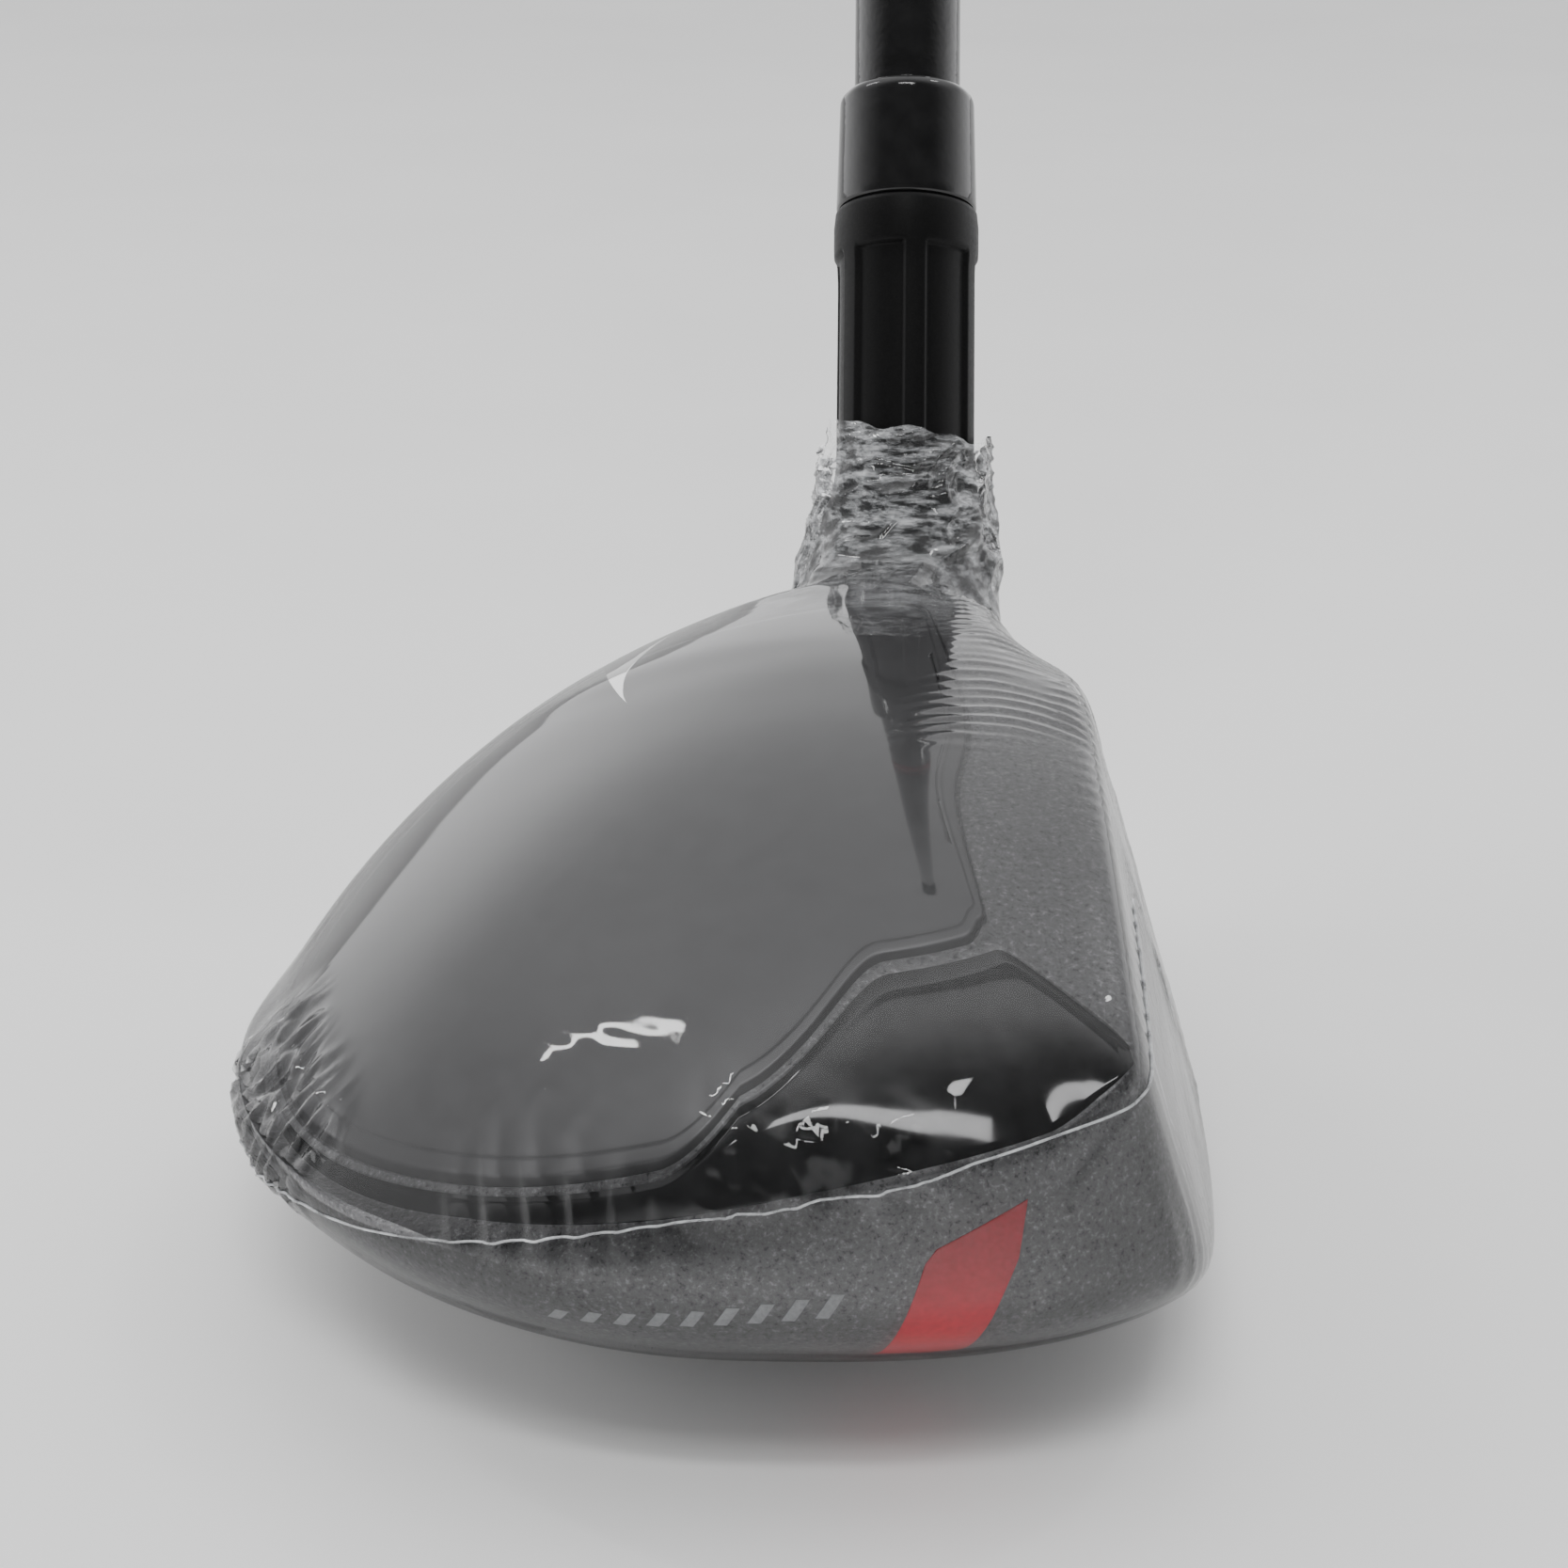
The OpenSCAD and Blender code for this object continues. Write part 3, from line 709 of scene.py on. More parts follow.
def inlay(name, surface, outlines, to_space, aim, material, proud=0.03, bevel=0.12, cell=0.8, depth=None):
    """Sheet that follows the head inside flat outlines.

    to_space turns flat points to start points in space, and aim is the way they are dropped on the head.
    depth gives how far each flat point is cut back, or None.
    """
    verts, faces = [], []
    for corners in outlines:
        outer = resample(np.array(corners, float), cell)
        loops = [outer, shrink(outer, bevel * 0.4), shrink(outer, bevel)]
        heights = [-0.25, proud * 0.6, proud]
        low, high = outer.min(0), outer.max(0)
        xs, ys = np.arange(low[0], high[0], cell), np.arange(low[1], high[1], cell)
        field = np.stack(np.meshgrid(xs, ys), -1).reshape(-1, 2)
        field = field[inside_by(field, outer) > bevel + 0.4 * cell]
        points = np.concatenate([*loops, field])
        parts = zip([*loops, field], [*heights, proud])
        height = np.concatenate([np.full(len(part), level) for part, level in parts])
        n = len(outer)
        edges = [(k * n + i, k * n + (i + 1) % n) for k in range(3) for i in range(n)]
        ring = [list(range(n))]
        flat, _, tris, _, _, _ = geometry.delaunay_2d_cdt([Vector(p) for p in points], edges, ring, 1, 1e-5)
        flat = np.array([tuple(p) for p in flat])
        nearest = ((flat[:, None] - points[None]) ** 2).sum(-1).argmin(1)
        lift = height[nearest] - (depth(flat) if depth else 0)
        start = len(verts)
        for p, h in zip(to_space(flat), lift):
            hit, normal, _, _ = surface.ray_cast(Vector(p), Vector(aim))
            normal = -normal if normal.dot(Vector(aim)) > 0 else normal
            verts.append(np.array(hit) + np.array(normal) * h)
        for tri in tris:
            a, b, c = (verts[start + i] for i in tri)
            backwards = np.dot(np.cross(b - a, c - a), aim) > 0
            faces.append(tuple(start + i for i in (reversed(tri) if backwards else tri)))
    return add_piece(name, verts, faces, material)


def toe_side(flat):
    """Outline points are x and z, seen from the toe."""
    return np.stack([flat[:, 0], np.full(len(flat), -70.0), flat[:, 1]], -1)


def under_side(flat):
    """Outline points are x and y, seen from below."""
    return np.stack([flat[:, 0], flat[:, 1], np.full(len(flat), -20.0)], -1)


def face_side(flat):
    """Outline points are y and the height up the face."""
    up = flat[:, 1]
    start = np.array([LEADING_EDGE, 0, EDGE_HEIGHT]) + 30 * np.array([math.cos(LOFT), 0, math.sin(LOFT)])
    slope = np.array([-math.sin(LOFT), 0, math.cos(LOFT)])
    return start + up[:, None] * slope + flat[:, :1] * np.array([0, 1.0, 0])


def accent_outline():
    return [[17.9, 21.7], [12.2, 19.1], [11.5, 18.2], [7.4, 4.5], [12.8, 4.5], [16.4, 15.4], [17.4, 18]]


def mark_outlines():
    """Slanted ticks that grow towards the face."""
    ticks = []
    for i in range(9):
        x, z = -12 + 2.1 * i, 12.4 + 0.26 * i
        lean, tall = 0.6 + 0.05 * i, 1.1 + 0.1 * i
        ticks.append([[x, z], [x + 0.9, z], [x + 0.9 + lean, z + tall], [x + lean, z + tall]])
    return ticks


def sole_outline():
    t = np.arange(0, 360, 4)
    c, s = np.cos(np.radians(t)), np.sin(np.radians(t))
    return np.stack([-3 + 22 * signed_power(c, 2.6), 27 * signed_power(s, 2.2)], -1)


def slot_outline():
    return [[23, -24.4], [25.9, -24.4], [25.9, 24.4], [23, 24.4]]


def face_outline():
    """Rounded window round four corner circles."""
    corners = ((22, 12, 7, -90), (22, 18, 9.5, 0), (-18, 17, 9.5, 90), (-15, 12.5, 7.5, 180))
    points = []
    for y, z, r, start in corners:
        for a in np.radians(np.arange(start, start + 90.1, 9)):
            points.append([y + r * math.cos(a), z + r * math.sin(a)])
    return points


def score_depth(flat):
    """Score lines across the face."""
    cut = np.zeros(len(flat))
    for i in range(7):
        middle, half = 6.9 + 3 * i, 20 - 0.2 * i
        across = 0.42 - np.abs(flat[:, 1] - middle)
        along = half - np.abs(flat[:, 0] - 2)
        cut = np.maximum(cut, 0.35 * ease(np.minimum(across, along) / 0.2))
    return cut


# ---- turned pieces on the shaft ----

def turned(name, profile, material, turns=128, shape=None, close=True):
    """Piece turned round the shaft axis from pairs of distance and radius."""
    a = np.arange(turns) * 2 * math.pi / turns
    rows = []
    for s, r in profile:
        radii = np.full(turns, float(r)) if shape is None else shape(np.degrees(a), s, r)
        rows.append(on_axis(np.array(s)) + round_axis(a) * radii[:, None])
    rows = np.array(rows)
    if close:
        rows = np.concatenate([rows, rows[:1]])
    return add_piece(name, rows.reshape(-1, 3), grid_faces(*rows.shape[:2]), material)


def arc(s, r, size, start, stop, steps=8):
    """Rounded corner of a profile round the point (s, r); angles run from the +s direction."""
    a = np.radians(np.linspace(start, stop, steps))
    return list(zip(s + size * np.cos(a), r + size * np.sin(a)))


def make_ferrule(material):
    top = HOSEL_TOP + FERRULE_H
    profile = [(HOSEL_TOP + 0.05, TIP_R + 0.02), (top, TIP_R + 0.02)]
    profile += arc(top - 1.3, TIP_R + 0.05, 1.25, 0, 86)
    profile += [(s, np.interp(s, (HOSEL_TOP + 1, top - 1.2), (HOSEL_R - 0.05, TIP_R + 1.3)))
                for s in (top - 1.5, top - 2.2, HOSEL_TOP + 2, HOSEL_TOP + 1)]
    profile += arc(HOSEL_TOP + 0.35, HOSEL_R - 0.34, 0.3, 90, 180, 5)
    return turned("ferrule_sleeve", profile[::-1], material)


def make_shaft(material):
    def radius(s):
        return np.interp(s, (TAPER_START, TAPER_END), (TIP_R, BUTT_R))
    steps = np.concatenate([[HOSEL_TOP - 4], np.linspace(HOSEL_TOP, SHAFT_END - 1, 60)])
    return turned("shaft_tube", [(s, radius(s)) for s in steps[::-1]], material, close=False)


def make_bands(material):
    pieces = []
    for i, (s, height) in enumerate(((118, 6), (126, 1.5))):
        profile = [(s, TIP_R), (s, TIP_R + 0.04), (s + 0.06, TIP_R + 0.06), (s + height - 0.06, TIP_R + 0.06),
                   (s + height, TIP_R + 0.04), (s + height, TIP_R)]
        pieces.append(turned(f"shaft_band_{i + 1}", profile[::-1], material))
    return pieces


def grip_radius(s):
    spread = GRIP_END_R - GRIP_MOUTH_R
    return np.interp(s, (GRIP_MOUTH + 1.5, GRIP_MOUTH + 0.55 * GRIP_LENGTH, SHAFT_END - 30, SHAFT_END - 4),
                     (GRIP_MOUTH_R, GRIP_MOUTH_R + 0.35 * spread, GRIP_END_R - 0.6, GRIP_END_R))


def grip_tread(angle, s, r):
    """Crossing grooves along the grip, with plain collars at both ends."""
    along = (s - GRIP_MOUTH) / 9.0
    a = angle / 360 * 8
    first = np.abs((along + a) % 1 - 0.5) * 2
    second = np.abs((along - a) % 1 - 0.5) * 2
    groove = np.maximum(1 - ease(first / 0.16), 1 - ease(second / 0.16))
    zone = bump(s, GRIP_MOUTH + 16, GRIP_MOUTH + 18, SHAFT_END - 16, SHAFT_END - 14)
    collars = (GRIP_MOUTH + 8, GRIP_MOUTH + 12, SHAFT_END - 8, SHAFT_END - 11)
    rings = sum(1 - ease(abs(s - c) / 0.7) for c in collars)
    return r - 0.32 * groove * zone - 0.35 * rings


def make_grip(material):
    steps = np.linspace(GRIP_MOUTH + 0.8, SHAFT_END, 560)
    profile = [(GRIP_MOUTH, BUTT_R + 0.05), (GRIP_MOUTH, GRIP_MOUTH_R - 1.0)]
    profile += [(GRIP_MOUTH + 0.25, GRIP_MOUTH_R - 0.4)]
    profile += [(s, grip_radius(s)) for s in steps]
    return turned("grip_sleeve", profile[::-1], material, turns=160, shape=grip_tread, close=False)


def make_grip_cap(material):
    r = GRIP_END_R
    profile = [(SHAFT_END, 1.6), (SHAFT_END, r - 0.2), (SHAFT_END + 0.15, r), (SHAFT_END + 0.9, r + 0.42)]
    profile += arc(CLUB_LENGTH - 1.5, r - 1.05, 1.5, 80, 0)
    for outer in (0.86 * r, 0.6 * r, 0.34 * r):
        groove = ((0, 0), (0.3, 0.25), (0.3, 0.75), (0, 1.0))
        profile += [(CLUB_LENGTH - deep, outer - inwards) for deep, inwards in groove]
    profile += [(CLUB_LENGTH, 2.0), (CLUB_LENGTH - 0.2, 1.65), (CLUB_LENGTH - 3, 1.6)]
    return turned("grip_end_cap", profile[::-1], material)


# ---- shrink film ----

FILM_TOP = 48.6  # mean height of the film's loose edge along the shaft axis
FILM_COLUMNS, FILM_ROWS = 560, 340
FILM_CENTRE = np.array([0.0, 1.0, 15.0])
FILM_EDGE_ROWS = 30  # rows below the loose edge that follow its waves
SEAM_HEIGHT, SEAM_SLOPE = 21.0, 0.23
SEAM_WIDTH, SEAM_THICKNESS = 0.26, 0.16


def film_form():
    """Rough skin that the film follows: the head with a shallower scoop, and the neck."""
    t = np.arange(0, 359.9, 1.0)
    edge = crown_edge_reach(t, 0.45)
    rows = [on_crown(t, edge * f, 0.15) for f in np.linspace(0.01, 1, 70)]
    rows += [scoop_point(t, u, 0.45) for u in np.linspace(0.06, 1, 14)]
    rows += [skirt_point(t, u) for u in np.linspace(0.08, 1, 12)]
    rows += [sole_point(t, u) for u in np.linspace(0.04, 0.995, 26)]
    grid = cut_by_face(np.array(rows))
    grid = grid + grid_normals(grid) * FILM_GAP
    lifted, _ = blend_with_neck(grid, FILM_GAP)
    head_verts, head_faces = cap_rows(lifted)
    neck_verts, neck_faces = cap_rows(neck_grid(FILM_GAP, 120, flutes=False))
    shift = len(head_verts)
    faces = list(head_faces) + [tuple(i + shift for i in f) for f in neck_faces]
    verts = [Vector(v) for v in np.concatenate([head_verts, neck_verts])]
    return BVHTree.FromPolygons(verts, [tuple(map(int, f)) for f in faces])


def film_spine(v):
    """Origin, axis and opening of the cone of rays at v: 0 at the hosel, 1 under the head."""
    neck_part = np.clip(v / 0.3, 0, 1)
    bend = ease(neck_part)
    s = FILM_TOP - (FILM_TOP - 24) * neck_part
    origin = on_axis(np.array(s)) * (1 - bend) + FILM_CENTRE * bend
    upward = SHAFT_COURSE * (1 - bend) + np.array([0.17, 0.6, 0.78]) * bend
    rest = np.clip((v - 0.3) / 0.7, 0, 1)
    turned_axis = upward * (1 - ease(rest * 1.4)) + np.array([0, 0.0, 1.0]) * ease(rest * 1.4)
    axis = unit(turned_axis)
    opening = 90 - 58 * bend if v < 0.3 else 32 + 146 * rest
    return origin, axis, math.radians(opening)


def film_row(v, angles, form):
    origin, axis, opening = film_spine(v)
    across = unit(np.cross(np.array([0, 1.0, 0]), axis))
    up = np.cross(axis, across)
    row = []
    for a in angles:
        d = math.cos(opening) * axis + math.sin(opening) * (math.cos(a) * across + math.sin(a) * up)
        start = Vector(origin + d * 150)
        hit, _, _, _ = form.ray_cast(start, Vector(-d))
        row.append(tuple(hit) if hit is not None else tuple(origin + d * 5))
    return np.array(row)


def film_grid():
    """Film rows at even steps from the hosel to under the head."""
    form = film_form()
    a = np.arange(FILM_COLUMNS) * 2 * math.pi / FILM_COLUMNS
    trial = np.linspace(0, 1, 90)
    rough = np.array([film_row(v, a[::28], form) for v in trial])
    steps = np.linalg.norm(np.diff(rough, axis=0), axis=-1).mean(1)
    length = np.concatenate([[0], np.cumsum(np.maximum(steps, 0.02))])
    dense = length / length[-1]
    share = np.linspace(0, 1, FILM_ROWS) ** 1.25
    grid = np.array([film_row(v, a, form) for v in np.interp(share, dense, trial)])
    for _ in range(6):
        inner = (grid + np.roll(grid, 1, axis=1) + np.roll(grid, -1, axis=1)) / 3
        inner[1:-1] = (inner[:-2] + inner[1:-1] + inner[2:]) / 3
        grid[1:-1] = inner[1:-1]
        grid[0], grid[-1] = inner[0], inner[-1]
    return grid


def ridge(value):
    """Sharp rounded crests with broad valleys, from 0 to 1, one per unit of value."""
    return np.abs(np.cos(math.pi * value)) ** 6


def crossing_folds(p, along, pitch, wander, seed):
    """Crests that run across the direction along, broken up along their length."""
    course = (p * unit(np.asarray(along, float))).sum(-1) / pitch
    course = course + wander * noise(p, 7.0 * pitch, seed) + 0.3 * wander * noise(p, 2.2 * pitch, seed + 1)
    broken = np.clip(0.45 + 0.9 * noise(p, 5.0 * pitch, seed + 2), 0, 1)
    return ridge(course) * broken


def creases(p, scale, seed):
    """Net of sharp creases with smooth facets between them, from 0 in a facet to 1 on a crease."""
    bent = p + 0.35 * scale * np.stack([noise(p, 1.5 * scale, seed + k) for k in (1, 2, 3)], -1)
    one = 1 - np.minimum(1, np.abs(noise(bent, scale, seed)) / 0.3)
    two = 1 - np.minimum(1, np.abs(noise(bent[..., [1, 2, 0]], 1.3 * scale, seed + 4)) / 0.3)
    return np.maximum(one, two) ** 1.5


def film_wrinkles(p):
    """Height of the wrinkles of the film, in millimetres."""
    x, y, z = p[..., 0], p[..., 1], p[..., 2]
    s = ((p - SHAFT_FOOT) * SHAFT_COURSE).sum(-1)
    d = neck_distance(p.reshape(-1, 3)).reshape(x.shape)
    gathered = ease((8 - d) / 5) * ease((s - 33) / 5)
    gathers = crossing_folds(p, (0.1, 0.4, 0.9), 1.15, 0.9, 3) * ease((s - 41) / 4)
    neck = gathered * (0.22 * gathers + 0.75 * creases(p * [1, 1, 1.3], 6.0, 5) + 0.2 * creases(p, 2.6, 9))
    heel_side = ease((x - 9.5 - 0.08 * y) / 4) * ease((29 - d) / 7) * ease((y + 9) / 6) * (1 - gathered)
    sweep = p + np.stack([0 * x, 0.05 * (x - 20) ** 2, 0 * x], -1)
    heel = heel_side * np.clip(0.5 + 1.1 * noise(p, 6.0, 25), 0.1, 1)
    heel = 0.34 * heel * crossing_folds(sweep, (0.3, 0.85, 0.45), 1.5, 0.9, 21)
    rear = ease((-x - 24.5) / 4) * bump(-y, 1, 7, 22, 28) * bump(z, 10, 13.5, 17.5, 20.5)
    spikes = crossing_folds(p, (0.6, -0.8, 0.2), 2.1, 1.0, 31) + 1.5 * creases(p, 3.0, 37)
    crumple = 0.42 * rear * spikes
    scoop = bump(x, -5, 0, 11, 15) * bump(z, 19.5, 21.5, 26, 28.5) * ease((-y - 30) / 3)
    crush = scoop * (0.75 * creases(p, 3.4, 41) + 0.35 * creases(p, 1.5, 44))
    brim = bump(x, -21, -17, -4, 0) * bump(z, 15.5, 18, 21.5, 24) * ease((-y - 27) / 4)
    ticks = 0.5 * brim * crossing_folds(p, (1, 0.15, 0.1), 2.7, 0.5, 51)
    face = ease((x - face_x(y, z) + 2.5) / 1.5) * ease((26 - y) / 10)
    lines = 0.14 * face * crossing_folds(p, (0.1, 1, 0.1), 1.9, 0.5, 61)
    crown = bump(x, -17, -13, 0, 3) * bump(-y, 26, 29, 34, 37) * bump(z, 20, 22, 27, 30)
    streaks = 0.1 * crown * crossing_folds(p, (1, 0.9, 0), 1.3, 0.9, 81)
    slack = 0.03 * noise(p, 9.0, 71)
    return neck + heel + crumple + crush + ticks + lines + streaks + slack


def make_film(material):
    grid = film_grid()
    loose = np.radians(np.arange(FILM_COLUMNS) * 360 / FILM_COLUMNS)
    scallop = 0.9 * np.sin(2 * loose + 0.6) + 0.35 * np.sin(5 * loose + 2) + 0.2 * np.sin(11 * loose)
    fade = np.clip(1 - np.arange(FILM_ROWS) / FILM_EDGE_ROWS, 0, 1)[:, None]
    grid = grid + (fade * scallop[None])[..., None] * SHAFT_COURSE
    shape = grid + grid_normals(grid) * film_wrinkles(grid)[..., None]
    shape[..., 2] = np.maximum(shape[..., 2], 0.05)
    return add_piece("film_skin", shape.reshape(-1, 3), grid_faces(*shape.shape[:2]), material)


def make_seam(material, surface):
    """Welded ridge round the film, found by dropping rays at the head from outside."""
    loop = []
    for angle in np.arange(150, 352, 0.5):
        a = math.radians(angle)
        x, y = outline(angle)
        z = SEAM_HEIGHT + SEAM_SLOPE * x + 0.5 * math.sin(3.1 * a)
        inwards = Vector((-math.cos(a), -math.sin(a), 0))
        hit, normal, _, _ = surface.ray_cast(Vector((1.5 * x, 1.5 * y, z)), inwards)
        if hit is not None:
            loop.append(np.array(hit) + np.array(normal) * 0.05)
    loop = np.array(loop)
    course = unit(np.gradient(loop, axis=0))
    side = unit(np.cross(course, np.array([0, 0, 1.0])))
    up = np.cross(side, course)
    rows = []
    for angle in np.radians(np.arange(0, 360, 45)):
        sideways, outwards = SEAM_WIDTH / 2 * math.cos(angle), SEAM_THICKNESS / 2 * math.sin(angle)
        rows.append(loop + sideways * side + outwards * up)
    grid = np.array(rows).transpose(1, 0, 2)
    return add_piece("film_weld", grid.reshape(-1, 3), grid_faces(*grid.shape[:2]), material)


# ---- stage ----

PAINTED_FLOOR_SHADE = 40.0, 620.0  # where the painted shade on the paper starts and stops, in millimetres along Y
ROOM_STRENGTH = 2.05
CAMERA_PLACE, CAMERA_TILT, CAMERA_TURN, CAMERA_ROLL = (4.0, -207.3, 115.1), 21.5, -0.47, 0.49
SENSOR_WIDTH = 36.0
LENS = SENSOR_WIDTH * 1.9772


def add_light(name, place, target, size, radiance, mirrored=True):
    """Rectangular softbox; radiance is how bright it looks. Glossy things show it if mirrored."""
    data = bpy.data.lights.new(name, "AREA")
    data.shape = "RECTANGLE"
    data.size, data.size_y = size
    data.energy = radiance * math.pi * size[0] * size[1]
    lamp = bpy.data.objects.new(name, data)
    bpy.context.scene.collection.objects.link(lamp)
    lamp.location = place
    lamp.rotation_mode = "QUATERNION"
    lamp.rotation_quaternion = (Vector(target) - Vector(place)).to_track_quat("-Z", "Y")
    lamp.visible_camera = False
    lamp.visible_glossy = mirrored


def make_floor():
    """Pale paper with painted shade that makes it a little darker beyond the club."""
    half = 40.0
    corners = [(x * half, y * half, 0) for x, y in ((-1, -1), (1, -1), (1, 1), (-1, 1))]
    mesh = bpy.data.meshes.new("floor")
    mesh.from_pydata(corners, [], [(0, 1, 2, 3)])
    floor = bpy.data.objects.new("floor", mesh)
    bpy.context.scene.collection.objects.link(floor)
    m = new_material("floor_paper", (0.84, 0.845, 0.85), 0.55, specular=0.3)
    where = place_mm(m)
    paper = between(m, noise_node(m, where, 0.02, 3.0), (0.91, 0.91, 0.905), (0.94, 0.94, 0.935))
    depth = node(m, "ShaderNodeSeparateXYZ")
    link(m, where, depth.inputs["Vector"])
    away = node(m, "ShaderNodeMapRange")
    away.inputs["From Min"].default_value, away.inputs["From Max"].default_value = PAINTED_FLOOR_SHADE
    link(m, depth.outputs["Y"], away.inputs["Value"])
    # painted shade: the paper's colour darkens along Y, standing in for less light falling further away
    shade = between(m, away.outputs["Result"], 1.0, 0.74, 0, 1)
    feed(m, "Base Color", mix_colors(m, 1.0, paper, shade, "MULTIPLY"))
    mesh.materials.append(m)


def make_world():
    """Soft room light: bright beyond the heel, dark beyond the toe."""
    world = bpy.data.worlds.new("studio")
    bpy.context.scene.world = world
    world.use_nodes = True
    coords = node(world, "ShaderNodeTexCoord")
    split = node(world, "ShaderNodeSeparateXYZ")
    link(world, coords.outputs["Generated"], split.inputs["Vector"])
    spread = node(world, "ShaderNodeMapRange")
    spread.inputs["From Min"].default_value = -1.0
    link(world, split.outputs["Y"], spread.inputs["Value"])
    far_side = ((0.0, 1.0), (0.12, 0.95), (0.45, 0.6), (1.0, 0.85))
    near_side = ((0.0, 0.62), (0.14, 0.56), (0.36, 0.04), (1.0, 0.07))
    by_side = ((0.0, 0.0), (0.28, 0.0), (0.62, 0.9), (1.0, 1.0))
    ramps = []
    for source, stops in ((split.outputs["Z"], near_side), (split.outputs["Z"], far_side),
                          (spread.outputs["Result"], by_side)):
        stops = [(at, (value, value, value * 1.01)) for at, value in stops]
        ramps.append(color_ramp(world, source, stops, "EASE"))
    both = mix_colors(world, ramps[2], ramps[0], ramps[1])
    background = world.node_tree.nodes["Background"]
    link(world, both, background.inputs["Color"])
    background.inputs["Strength"].default_value = ROOM_STRENGTH


def make_lights():
    """Soft walls of light beside the club, three small lamps above it and a fill for the floor."""
    add_light("left_wall", (-1.3, 0.0, 0.4), (0, 0.0, 0.1), (1.2, 0.7), 3.0, mirrored=False)
    add_light("right_wall", (1.3, 1.2, 0.2), (0, 0.9, 0.15), (2.3, 0.4), 3.5, mirrored=False)
    add_light("left_lamp", (-0.6, 0.36, 0.76), (-0.01, -0.03, 0.02), (0.03, 0.3), 30)
    add_light("right_lamp", (0.46, 0.36, 0.86), (0.02, -0.03, 0.02), (0.05, 0.14), 22)
    add_light("toe_lamp", (-0.12, -1.24, 2.8), (0.0, -0.04, 0.02), (1.2, 0.22), 17)
    add_light("near_fill", (-0.1, -0.95, 1.7), (0.0, -0.25, 0.0), (1.2, 0.5), 6.0, mirrored=False)


def make_camera():
    """Camera of the view from the toe, above the ground and close to the head."""
    tilt, turn, roll = (math.radians(a) for a in (CAMERA_TILT, CAMERA_TURN, CAMERA_ROLL))
    forward = Vector((math.sin(turn) * math.cos(tilt), math.cos(turn) * math.cos(tilt), -math.sin(tilt)))
    flat_right = Vector((math.cos(turn), -math.sin(turn), 0))
    flat_up = flat_right.cross(forward)
    right = flat_right * math.cos(roll) + flat_up * math.sin(roll)
    up = flat_up * math.cos(roll) - flat_right * math.sin(roll)
    data = bpy.data.cameras.new("camera")
    data.sensor_width = SENSOR_WIDTH
    data.lens = LENS
    data.clip_start, data.clip_end = 0.01, 200
    camera = bpy.data.objects.new("camera", data)
    bpy.context.scene.collection.objects.link(camera)
    turn_matrix = Matrix((right, up, -forward)).transposed().to_4x4()
    camera.matrix_world = Matrix.Translation(Vector(CAMERA_PLACE) * MM) @ turn_matrix
    bpy.context.scene.camera = camera


# ---- assembly ----

def surface_of(obj):
    """Ray-casting tree of a piece, in millimetres."""
    verts = [v.co / MM for v in obj.data.vertices]
    return BVHTree.FromPolygons(verts, [tuple(p.vertices) for p in obj.data.polygons])


def hand_over(piece, slot, *nodes):
    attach(piece, "root")
    if nodes:
        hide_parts(*nodes)


def dress_node(name, material):
    """Puts a material on a CAD node that stays as it is."""
    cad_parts[name].material_slots[0].material = material


steel = blasted_steel()
red = red_paint()
lacquer = black_gloss("shaft_lacquer", ripple=0.5)
film = film_material("shrink_film", haze=0.01, neck_haze=0.5)
weld = film_material("film_weld", haze=0.45, neck_haze=0.5, gloss=0.2)

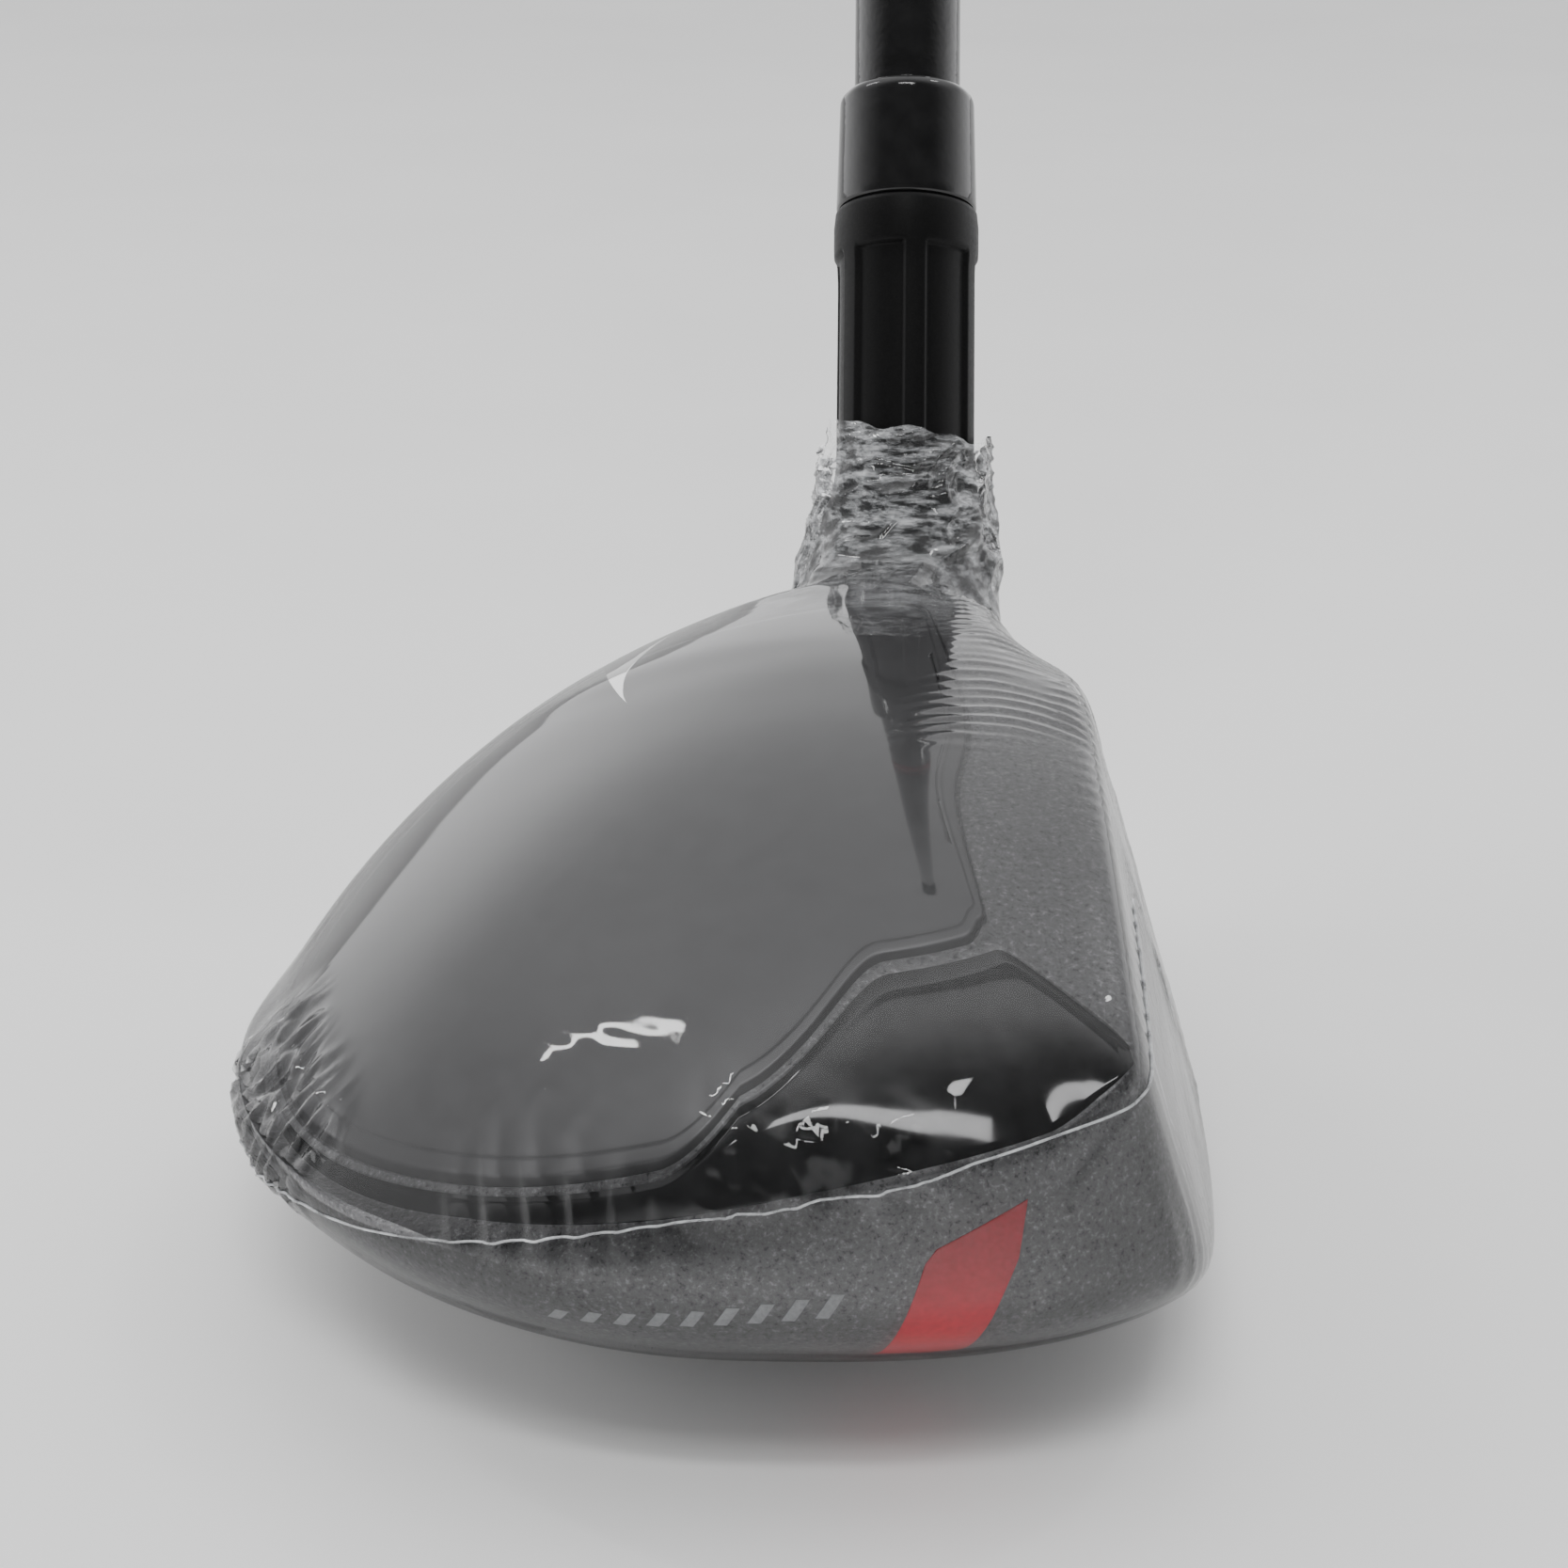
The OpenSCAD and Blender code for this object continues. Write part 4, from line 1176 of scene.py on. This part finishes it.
head = make_head(steel)
head_surface = surface_of(head)
hand_over(head, "satin_grey_steel", "head_body")
hand_over(make_hosel(steel), "satin_grey_steel")
hand_over(make_crown_panel(crown_paint()), "crown_grey", "crown_panel")
hand_over(make_toe_trim(black_gloss("black_chrome", base=0.02, roughness=0.06, metallic=0.6)),
          "black_chrome", "toe_trim")
hand_over(inlay("accent_patch", head_surface, [accent_outline()], toe_side, (0, 1, 0), red, cell=0.6),
          "red_accent", "accent_inlay")
hand_over(inlay("toe_ticks", head_surface, mark_outlines(), toe_side, (0, 1, 0),
                plain("tick_fill", (0.34, 0.35, 0.36), 0.4), bevel=0.06, cell=0.3), "pale_marks", "toe_marks")
hand_over(inlay("sole_pad", head_surface, [sole_outline()], under_side, (0, 0, 1),
                milled_steel("sole_steel", 0.3, (6, 0.3, 6)), proud=0.36, bevel=0.4, cell=1.5),
          "sole_steel", "sole_plate")
hand_over(inlay("slot_strip", head_surface, [slot_outline()], under_side, (0, 0, 1),
                plain("slot_rubber", (0.02, 0.02, 0.022), 0.7), proud=0.05, cell=0.9),
          "slot_elastomer", "slot_filler")
face_aim = (-math.cos(LOFT), 0, -math.sin(LOFT))
hand_over(inlay("face_insert", head_surface, [face_outline()], face_side, face_aim,
                milled_steel("face_steel", 0.4, (6, 0.25, 6)), proud=0.04, cell=0.22, depth=score_depth),
          "face_steel", "face_plate")

hand_over(make_ferrule(black_gloss("ferrule_gloss", ripple=0.25)), "ferrule_plastic", "ferrule")
hand_over(make_shaft(lacquer), "shaft_black", "shaft")
bands = make_bands(plain("band_paint", (0.16, 0.012, 0.02), 0.35))
hand_over(bands[0], "band_red", "shaft_bands")
hand_over(bands[1], "band_red")
rubber = plain("grip_rubber", (0.022, 0.022, 0.023), 0.75, grain=1.5, depth=0.06)
hand_over(make_grip(rubber), "grip_rubber", "grip")
hand_over(make_grip_cap(plain("cap_rubber", (0.03, 0.03, 0.031), 0.7, grain=2.0)), "cap_rubber", "grip_cap")

skin = make_film(film)
hand_over(skin, "shrink_film", "film_wrap")
hand_over(make_seam(weld, surface_of(skin)), "shrink_film", "film_seam")

dress_node("inner_weight", plain("weight_alloy", (0.3, 0.28, 0.25), 0.55, metallic=0.8))
dress_node("hot_melt", plain("hot_melt_glue", (0.8, 0.72, 0.5), 0.4))
dress_node("epoxy_bond", plain("epoxy_glue", (0.7, 0.66, 0.45), 0.35))
dress_node("tip_plug", milled_steel("plug_brass", 0.5))
dress_node("grip_tape", plain("tape_paper", (0.75, 0.66, 0.45), 0.85))

make_floor()
make_world()
make_lights()
make_camera()
